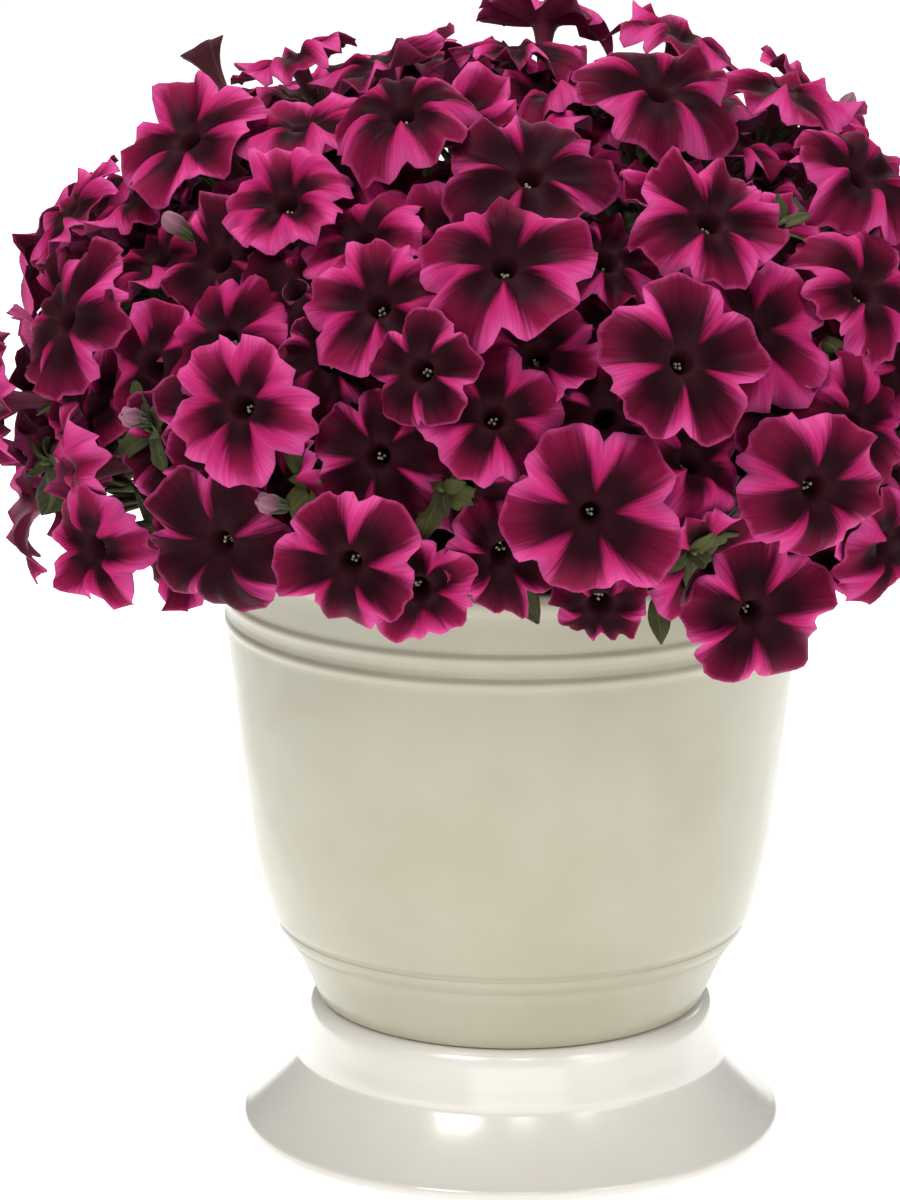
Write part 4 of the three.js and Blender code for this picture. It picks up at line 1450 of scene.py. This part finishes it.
@dataclass
class Bud:
    """A furled bud or a half-open trumpet at the end of a stalk."""

    SEPAL: ClassVar[Sepal] = Sepal((1.0, 1.4, 1.3, 0.9, 0.3), 6)

    azimuth: float
    height: float
    length: float
    rise: float
    swing: float
    flare: float = 0.0
    rows: int = 12
    columns: int = 30
    stalk_radius: float = 0.95

    def radii(self, share: np.ndarray) -> np.ndarray:
        """Returns the bud's radius at places along it, from 0 at its foot to 1 at its tip."""
        if self.flare:
            return 1.7 + 1.6 * share + self.flare * share**5
        radius = 1.6 + 0.9 * share + 2.4 * np.sin(math.pi * np.clip(share * 1.12 - 0.2, 0, 1)) ** 1.4
        return radius * (1 - smoothstep(share, 0.86, 1.02) * 0.85)

    def add(self, petals: Draft, stalks: Draft, mound: Mound, root: np.ndarray) -> None:
        """Adds the bud, its calyx and its stalk."""
        axis = facing(self.azimuth + self.swing, self.rise)
        base = mound.point(self.azimuth, self.height) - 14 * facing(self.azimuth, mound.pitch_at(self.height))
        side = unit(np.cross([0, 0, 1], axis))
        other = np.cross(axis, side)
        turns, share = full_turn(self.columns), np.linspace(0, 1, self.rows)[:, None]
        fluted = self.radii(share) * (1 + (0.1 + 0.1 * share) * np.cos(5 * turns + 2.2 * share))
        grid = base + (share * self.length)[..., None] * axis + fluted[..., None] * spokes(side, other, turns)
        kind = 4 if self.flare else 3
        index = petals.add_grid(grid, kind, **petal_values(turns, share[:, 0] * 1.1 - 0.4, 0.0, 0.4))
        petals.cap(index[0], kind, flip=True)
        petals.cap(index[-1], 0)
        line = [base + 1.5 * axis, base - 8 * axis, 0.5 * (base - 16 * axis) + 0.5 * root, root]
        sweep(stalks, smooth_line(line, 12), [self.stalk_radius] * 2, 7, 0, self.SEPAL.tone)
        for i in range(5):
            spoke = spokes(side, other, math.radians(72 * i))
            self.SEPAL.add(stalks, base + 1.4 * spoke - 0.5 * axis, axis, spoke, 12, 3.4)


# ---- Leaves and stems ----


@dataclass
class Leaf:
    """An ovate leaf, folded along its midrib, arched and waved, with two faces and a thin edge."""

    length: float = 36.0
    width: float = 15.0
    thickness: float = 0.5
    rows: int = 8
    columns: int = 5
    edge: float = 0.5
    wave: float = 0.045

    def add(
        self,
        draft: Draft,
        base: np.ndarray,
        direction: np.ndarray,
        up: np.ndarray,
        chance: Chance,
        scale: float,
        press: Callable[[np.ndarray], np.ndarray],
    ) -> None:
        """Adds one leaf.

        Args:
            draft: The draft to add to.
            base: Where the leaf leaves its shoot.
            direction: The way that it points.
            up: The way that its upper face looks.
            chance: The source for its arch and waves.
            scale: Its size against the usual one.
            press: Moves the leaf's points clear of its neighbours.
        """
        across = unit(np.cross(up, direction))
        up = unit(np.cross(direction, across))
        length, half = self.length * scale, self.width * scale / 2
        arch, fold = chance.between(0.05, 0.32), chance.between(0.15, 0.5)
        phase, tone = 2 * math.pi * chance.share(), chance.share()
        t, s = np.linspace(0, 1, self.rows)[:, None], np.linspace(-1, 1, self.columns)
        swell = np.sin(math.pi * t**0.8)
        swell[[0, -1]] = 0
        spread = half * swell**0.75 + self.edge
        lift = fold * spread * abs(s) - arch * length * t * t
        lift = lift + self.wave * length * np.sin(9 * t + phase + s) * abs(s) ** 1.5
        level = base + (length * t)[..., None] * direction + (spread * s)[..., None] * across
        upper = press(level + lift[..., None] * up)
        place = np.stack(np.broadcast_arrays(s, t, tone), -1)
        index = np.arange(lift.size).reshape(lift.shape)
        top = draft.add_points(upper, leaf_place=place) + index
        bottom = draft.add_points(upper - self.thickness * up, leaf_place=place) + index
        edges = []
        for side, order in ((bottom, (0, 1, 2, 3)), (top, (3, 2, 1, 0))):
            corners = np.stack([side[:-1, :-1], side[1:, :-1], side[1:, 1:], side[:-1, 1:]], -1)
            draft.add_faces(corners[..., order].reshape(-1, 4))
            edges.append(np.concatenate([side[0], side[1:, -1], side[-1, -2::-1], side[-2:0:-1, 0]]))
        draft.bridge(*edges)


@dataclass
class StemPlan:
    """One leafy stem: where it stands and forks, and the sprays that it carries."""

    # the inner stems fork closer to the pot's axis than this
    INNER_RADIUS: ClassVar[float] = 100.0

    number: int
    azimuth: float
    foot_radius: float
    fork_radius: float
    fork_height: float
    tuft: Head
    carries: tuple[tuple[Tier, int], ...]
    soil_top: float = 296.0
    stub: float = 15.0

    def inner(self) -> bool:
        """Returns whether the stem is one of the inner ones."""
        return self.fork_radius < self.INNER_RADIUS

    def fork(self) -> np.ndarray:
        """Returns where the stem forks."""
        return at(self.azimuth, self.fork_radius, self.fork_height)

    def foot(self, above: float) -> np.ndarray:
        """Returns the point of the stem at a height above the soil."""
        return at(self.azimuth, self.foot_radius, self.soil_top + above)

    def root(self, tier: Tier, sector: int, along: float) -> np.ndarray:
        """Returns a point along a spray's stub, from its outer end inwards."""
        hub = tier.hub(sector)
        return hub + along * unit(self.fork() - hub)


@dataclass
class LeafyStem:
    """A stem's own green: its trunk, the branches to its sprays, its tuft and its leafy side shoots."""

    # an outer and an inner stem's shoots: how far to the sides, and their tips' least and most height
    SHOOTS: ClassVar[tuple] = ((17, 318, 500), (62, 470, 552))

    plan: StemPlan
    mound: Mound
    flowers: list[Flower]
    shoots: int = 8
    shoot_depths: tuple[float, float] = (24, 46)
    leaves_per_shoot: int = 6
    # the share of a shoot that is bare of leaves, and the turn from leaf to leaf and from shoot to shoot
    bare: float = 0.45
    leaf_turn: float = 137.5
    shoot_turn: float = 50.0
    tuft_leaves: int = 6
    low_leaves: int = 4
    fence_room: float = 0.8
    leaf_room: float = 7.0
    nearby: float = 75.0
    trunk_radius: float = 3.3
    branch_radius: float = 2.3
    tone: float = 0.4
    leaf: Leaf = field(default_factory=Leaf)

    def build(self, finishes: Finishes, chance: Chance) -> None:
        """Makes the stem and seats it."""
        draft, plan = Draft(), self.plan
        trunk = smooth_line([plan.foot(-34), plan.foot(4), plan.fork()], 16)
        sweep(draft, trunk, (self.trunk_radius, self.branch_radius + 0.4), 10, 1, self.tone)
        for tier, sector in plan.carries:
            self.add_branch(draft, plan.root(tier, sector, -1.0), 10, (self.branch_radius, 1.5), 9)
        self.add_tuft(draft, chance)
        for i in range(self.shoots):
            self.add_shoot(draft, chance, i)
        piece = draft.make(f"leafy_stem_green_{plan.number:02d}", [finishes.leaf, finishes.stalk])
        seat(piece, Slot.LEAF, f"leafy_stem_{plan.number:02d}")

    def add_branch(self, draft: Draft, end: np.ndarray, count: int, radii: tuple, sides: int) -> None:
        """Adds a straight branch from the fork to its end."""
        line = smooth_line([self.plan.fork(), (self.plan.fork() + end) / 2, end], count)
        sweep(draft, line, radii, sides, 1, self.tone)

    def add_tuft(self, draft: Draft, chance: Chance) -> None:
        """Adds the tuft of leaves at the end of the stem's main shoot."""
        tuft = self.plan.tuft
        self.add_branch(draft, tuft.centre, 9, (1.9, 1.0), 8)
        across = unit(np.cross([0, 0, 1], tuft.axis))
        turn = 360 * chance.share()
        for i in range(self.tuft_leaves):
            low = i < self.low_leaves
            spread = turned_about(across, tuft.axis, turn + 90 * i + (0 if low else 40))
            direction = unit(spread + tuft.axis * (chance.between(0.1, 0.45) if low else 1.1))
            scale = chance.between(0.7, 0.9) if low else 0.45
            base = tuft.centre - 5 * tuft.axis
            self.leaf.add(draft, base, direction, tuft.axis, chance, scale, self.in_tuft)

    def in_tuft(self, points: np.ndarray) -> np.ndarray:
        """Returns points, moved behind the tuft's fences and under the flowers over it."""
        moved = points.copy()
        for normal, middle in self.plan.tuft.fences:
            moved -= np.maximum(0, (moved - middle) @ normal + self.fence_room)[..., None] * normal
        return self.under_flowers(moved)

    def under_flowers(self, points: np.ndarray) -> np.ndarray:
        """Returns points, moved down where they come through the face of a flower close by."""
        moved, middle = points.copy(), points.reshape(-1, 3).mean(axis=0)
        for flower in self.flowers:
            if flower.filler or np.linalg.norm(flower.centre - middle) > self.nearby:
                continue
            height, aside = over_face(moved, flower)
            weight = 1 - smoothstep(aside, 0.95 * flower.radius, 1.2 * flower.radius)
            moved -= (np.maximum(0, height + self.leaf_room) * weight)[..., None] * flower.axis
        return moved

    def add_shoot(self, draft: Draft, chance: Chance, i: int) -> None:
        """Adds one side shoot with alternate leaves, kept under the flowers."""
        plan, mound = self.plan, self.mound
        half_width, lowest, highest = self.SHOOTS[plan.inner()]
        azimuth = plan.azimuth + chance.between(-half_width, half_width)
        height = chance.between(lowest, highest)
        axis = facing(azimuth, mound.pitch_at(height))
        tip = mound.point(azimuth, height) - chance.between(*self.shoot_depths) * axis
        start = plan.fork() + 0.1 * (tip - plan.fork())
        bend = (start + tip) / 2 + np.array([0, 0, chance.between(-4, 10)])
        line = smooth_line([start, bend, tip], 14)
        sweep(draft, line, (1.5, 0.8), 7, 1, self.tone)
        heading = unit(tip - bend)
        across = unit(np.cross(heading, [0.2, 0.3, 0.9]))
        for k in range(self.leaves_per_shoot):
            along = self.bare + (1 - self.bare) * (k + 0.5) / self.leaves_per_shoot
            spread = turned_about(across, heading, self.leaf_turn * k + self.shoot_turn * i)
            direction = unit(spread + heading * chance.between(0.1, 0.8))
            scale = chance.between(0.65, 0.98)
            base = line[int(along * (len(line) - 1))]
            self.leaf.add(draft, base, direction, axis, chance, scale, self.under_flowers)


@dataclass
class Spray:
    """The flowers of one spray, with the stalks that join them to its shoot."""

    # the half-hidden flowers' corolla: fewer points, a shorter tube and a looser curl
    PLAIN: ClassVar[dict] = {
        "columns": 42,
        "limb_rows": 7,
        "curl": (-0.35, 0.34),
        "throat": ((-33.0, 1.7), (-12.0, 3.7), (-1.5, 6.0)),
    }

    tier: Tier
    sector: int
    flowers: list[Flower]
    plan: StemPlan
    buds: list[Bud]
    mound: Mound
    corolla: Corolla = field(default_factory=Corolla)
    filler_corolla: Corolla = field(default_factory=lambda: Corolla(**Spray.PLAIN))
    anthers: Anthers = field(default_factory=Anthers)
    stalk: Stalk = field(default_factory=Stalk)

    def label(self) -> str:
        """Returns the spray's name and number."""
        return f"{self.tier.label}_{self.sector + 1:02d}"

    def build(self, finishes: Finishes, chance: Chance) -> None:
        """Makes the petals and the stalks of the spray and seats them."""
        petals, stalks = Draft(), Draft()
        plan, count = self.plan, len(self.flowers)
        line = np.array([plan.root(self.tier, self.sector, along) for along in (0, 5, 10, plan.stub)])
        sweep(stalks, line, (1.4, 1.9, 2.1, 2.3), 8, 0, 0.5)
        for i, flower in enumerate(self.flowers):
            root = plan.root(self.tier, self.sector, 0.8 * plan.stub * (i + 0.5) / count)
            corolla = self.filler_corolla if flower.filler else self.corolla
            corolla.add(petals, flower, chance)
            if not flower.filler:
                self.anthers.add(petals, flower, chance)
            self.stalk.add(stalks, flower, root, chance)
        for bud in self.buds:
            bud.add(petals, stalks, self.mound, plan.root(self.tier, self.sector, 2.0))
        node = f"flower_spray_{self.label()}"
        materials = [finishes.petal, finishes.petal_back, finishes.pollen, finishes.bud, finishes.trumpet]
        seat(petals.make(f"spray_petals_{self.label()}", materials), Slot.PETAL, node)
        seat(stalks.make(f"spray_stalks_{self.label()}", [finishes.stalk]), Slot.LEAF, node)


class Plant:
    """The whole plant: its layout, its leafy stems and its sprays."""

    BUDS = (
        Bud(-84, 528, 44, 58, -34, 7.5),
        Bud(-26, 370, 20, 20, -16),
        Bud(-53.5, 488, 20, 40, -10),
        Bud(-57.5, 455, 17, 10, 10, 3.5),
        Bud(-47, 402, 18, 20, 10),
        Bud(70, 470, 28, 46, 10),
        Bud(110, 505, 30, 60, 20),
        Bud(150, 440, 28, 40, -20),
        Bud(-150, 500, 30, 60, 0, 6.0),
        Bud(-120, 380, 26, 20, 20),
        Bud(172, 360, 26, 20, 0),
        Bud(85, 360, 26, 16, -20),
    )

    def __init__(self, finishes: Finishes) -> None:
        """Works out the layout and the plan of each stem."""
        self.finishes = finishes
        self.mound = Mound()
        self.layout = Layout(self.mound, Chance(20261), Chance(977))
        self.chance = Chance(4207)
        self.plans = self.make_plans()

    def make_plans(self) -> list[StemPlan]:
        """Returns the plans of the outer and then the inner stems."""
        tufts = self.layout.tufts
        outer = len(Layout.OUTER_TUFTS)
        plans = []
        for i in range(outer):
            carries = ((Tier.LOW, i), (Tier.HIGH, i))
            plans.append(StemPlan(i + 1, 30 * i, 92, 126, 338, tufts[i], carries))
        for i in range(len(Layout.INNER_TUFTS)):
            carries = ((Tier.CROWN, 2 * i), (Tier.CROWN, 2 * i + 1))
            plans.append(StemPlan(outer + i + 1, 120 * i + 30, 38, 44, 398, tufts[outer + i], carries))
        return plans

    def buds_of(self, tier: Tier, sector: int) -> list[Bud]:
        """Returns the buds in a spray's part of the mound."""
        return [b for b in self.BUDS if Tier.of(b.height) is tier and tier.sector_of(b.azimuth) == sector]

    def build(self) -> None:
        """Makes every stem and every spray."""
        for plan in self.plans:
            for tier, sector in plan.carries:
                members = [f for f in self.layout.flowers if f.tier is tier and f.sector == sector]
                spray = Spray(tier, sector, members, plan, self.buds_of(tier, sector), self.mound)
                spray.build(self.finishes, self.chance)
            LeafyStem(plan, self.mound, self.layout.flowers).build(self.finishes, self.chance)


# ---- The studio ----


@dataclass
class Studio:
    """A plain pale floor, soft light and the camera."""

    distance: float = 2757.5
    eye_height: float = 969.9
    pitch: float = 14.206
    yaw: float = 0.648
    focal: float = 5640.0 / 1200 * 36
    floor_size: float = 60.0

    def camera(self) -> None:
        """Makes the camera and gives it to the scene."""
        data = bpy.data.cameras.new("camera")
        data.lens = self.focal
        data.sensor_width = 36
        data.clip_end = 200
        eye = bpy.data.objects.new("camera", data)
        eye.location = (0, -self.distance * MM, self.eye_height * MM)
        eye.rotation_euler = (math.radians(90 - self.pitch), 0, math.radians(self.yaw))
        bpy.context.scene.collection.objects.link(eye)
        bpy.context.scene.camera = eye

    def light(
        self, name: str, place: tuple, target: tuple, size: tuple[float, float], power: float, colour: Colour
    ) -> None:
        """Makes one soft area light.

        Args:
            name: The light's name.
            place: Where it hangs, in metres.
            target: The point that it looks at.
            size: Its width and height.
            power: Its power in watts.
            colour: Its linear colour.
        """
        data = bpy.data.lights.new(name, "AREA")
        data.shape = "RECTANGLE"
        data.size, data.size_y = size
        data.energy = power
        data.color = colour
        lamp = bpy.data.objects.new(name, data)
        lamp.location = place
        lamp.rotation_euler = (Vector(target) - Vector(place)).to_track_quat("-Z", "Y").to_euler()
        bpy.context.scene.collection.objects.link(lamp)

    def floor(self, finishes: Finishes) -> None:
        """Makes the floor."""
        half = self.floor_size / 2 / MM
        draft = Draft()
        corners = [(-half, -half, 0), (half, -half, 0), (half, half, 0), (-half, half, 0)]
        first = draft.add_points(np.array(corners))
        draft.add_faces([[first, first + 1, first + 2, first + 3]])
        draft.make("studio_floor", [finishes.floor], smooth=False)

    def build(self, finishes: Finishes) -> None:
        """Makes the studio."""
        self.camera()
        self.floor(finishes)
        target = (0, 0, 0.35)
        self.light("key_light", (-1.3, -2.0, 2.4), target, (1.0, 1.0), 36, (1, 0.985, 0.96))
        self.light("window_middle", (0.3, -2.3, 2.5), target, (0.5, 0.6), 8, (1, 1, 1))
        self.light("window_right", (1.9, -1.9, 2.3), target, (0.4, 0.7), 8, (1, 1, 1))
        self.light("floor_bounce", (0.15, -1.9, 0.2), (0, 0, 0.1), (1.8, 0.3), 3.5, (1, 0.99, 0.97))
        self.light("fill_light", (2.2, -1.7, 1.2), target, (1.6, 1.6), 16, (0.97, 0.98, 1))
        self.light("top_light", (-0.3, 0.1, 2.7), target, (1.2, 1.2), 58, (1, 1, 1))
        self.light("back_light", (0.6, 2.4, 1.8), target, (2.0, 1.2), 18, (1, 1, 1))
        world = bpy.data.worlds.new("studio_air")
        world.use_nodes = True
        world.node_tree.nodes["Background"].inputs[0].default_value = (1, 1, 1, 1)
        world.node_tree.nodes["Background"].inputs[1].default_value = 0.3
        bpy.context.scene.world = world
        bpy.context.scene.view_settings.view_transform = "Standard"


def write_sizes() -> None:
    """Updates the view layer."""
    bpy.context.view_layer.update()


def main() -> None:
    """Builds the planter, the plant and the studio."""
    logging.basicConfig(level=logging.INFO, format="%(message)s")
    finishes = Finishes()
    Studio().build(finishes)
    Pedestal().build(finishes)
    Pot().build(finishes)
    Soil().build(finishes)
    Plant(finishes).build()
    write_sizes()


if __name__ == "__main__":
    main()
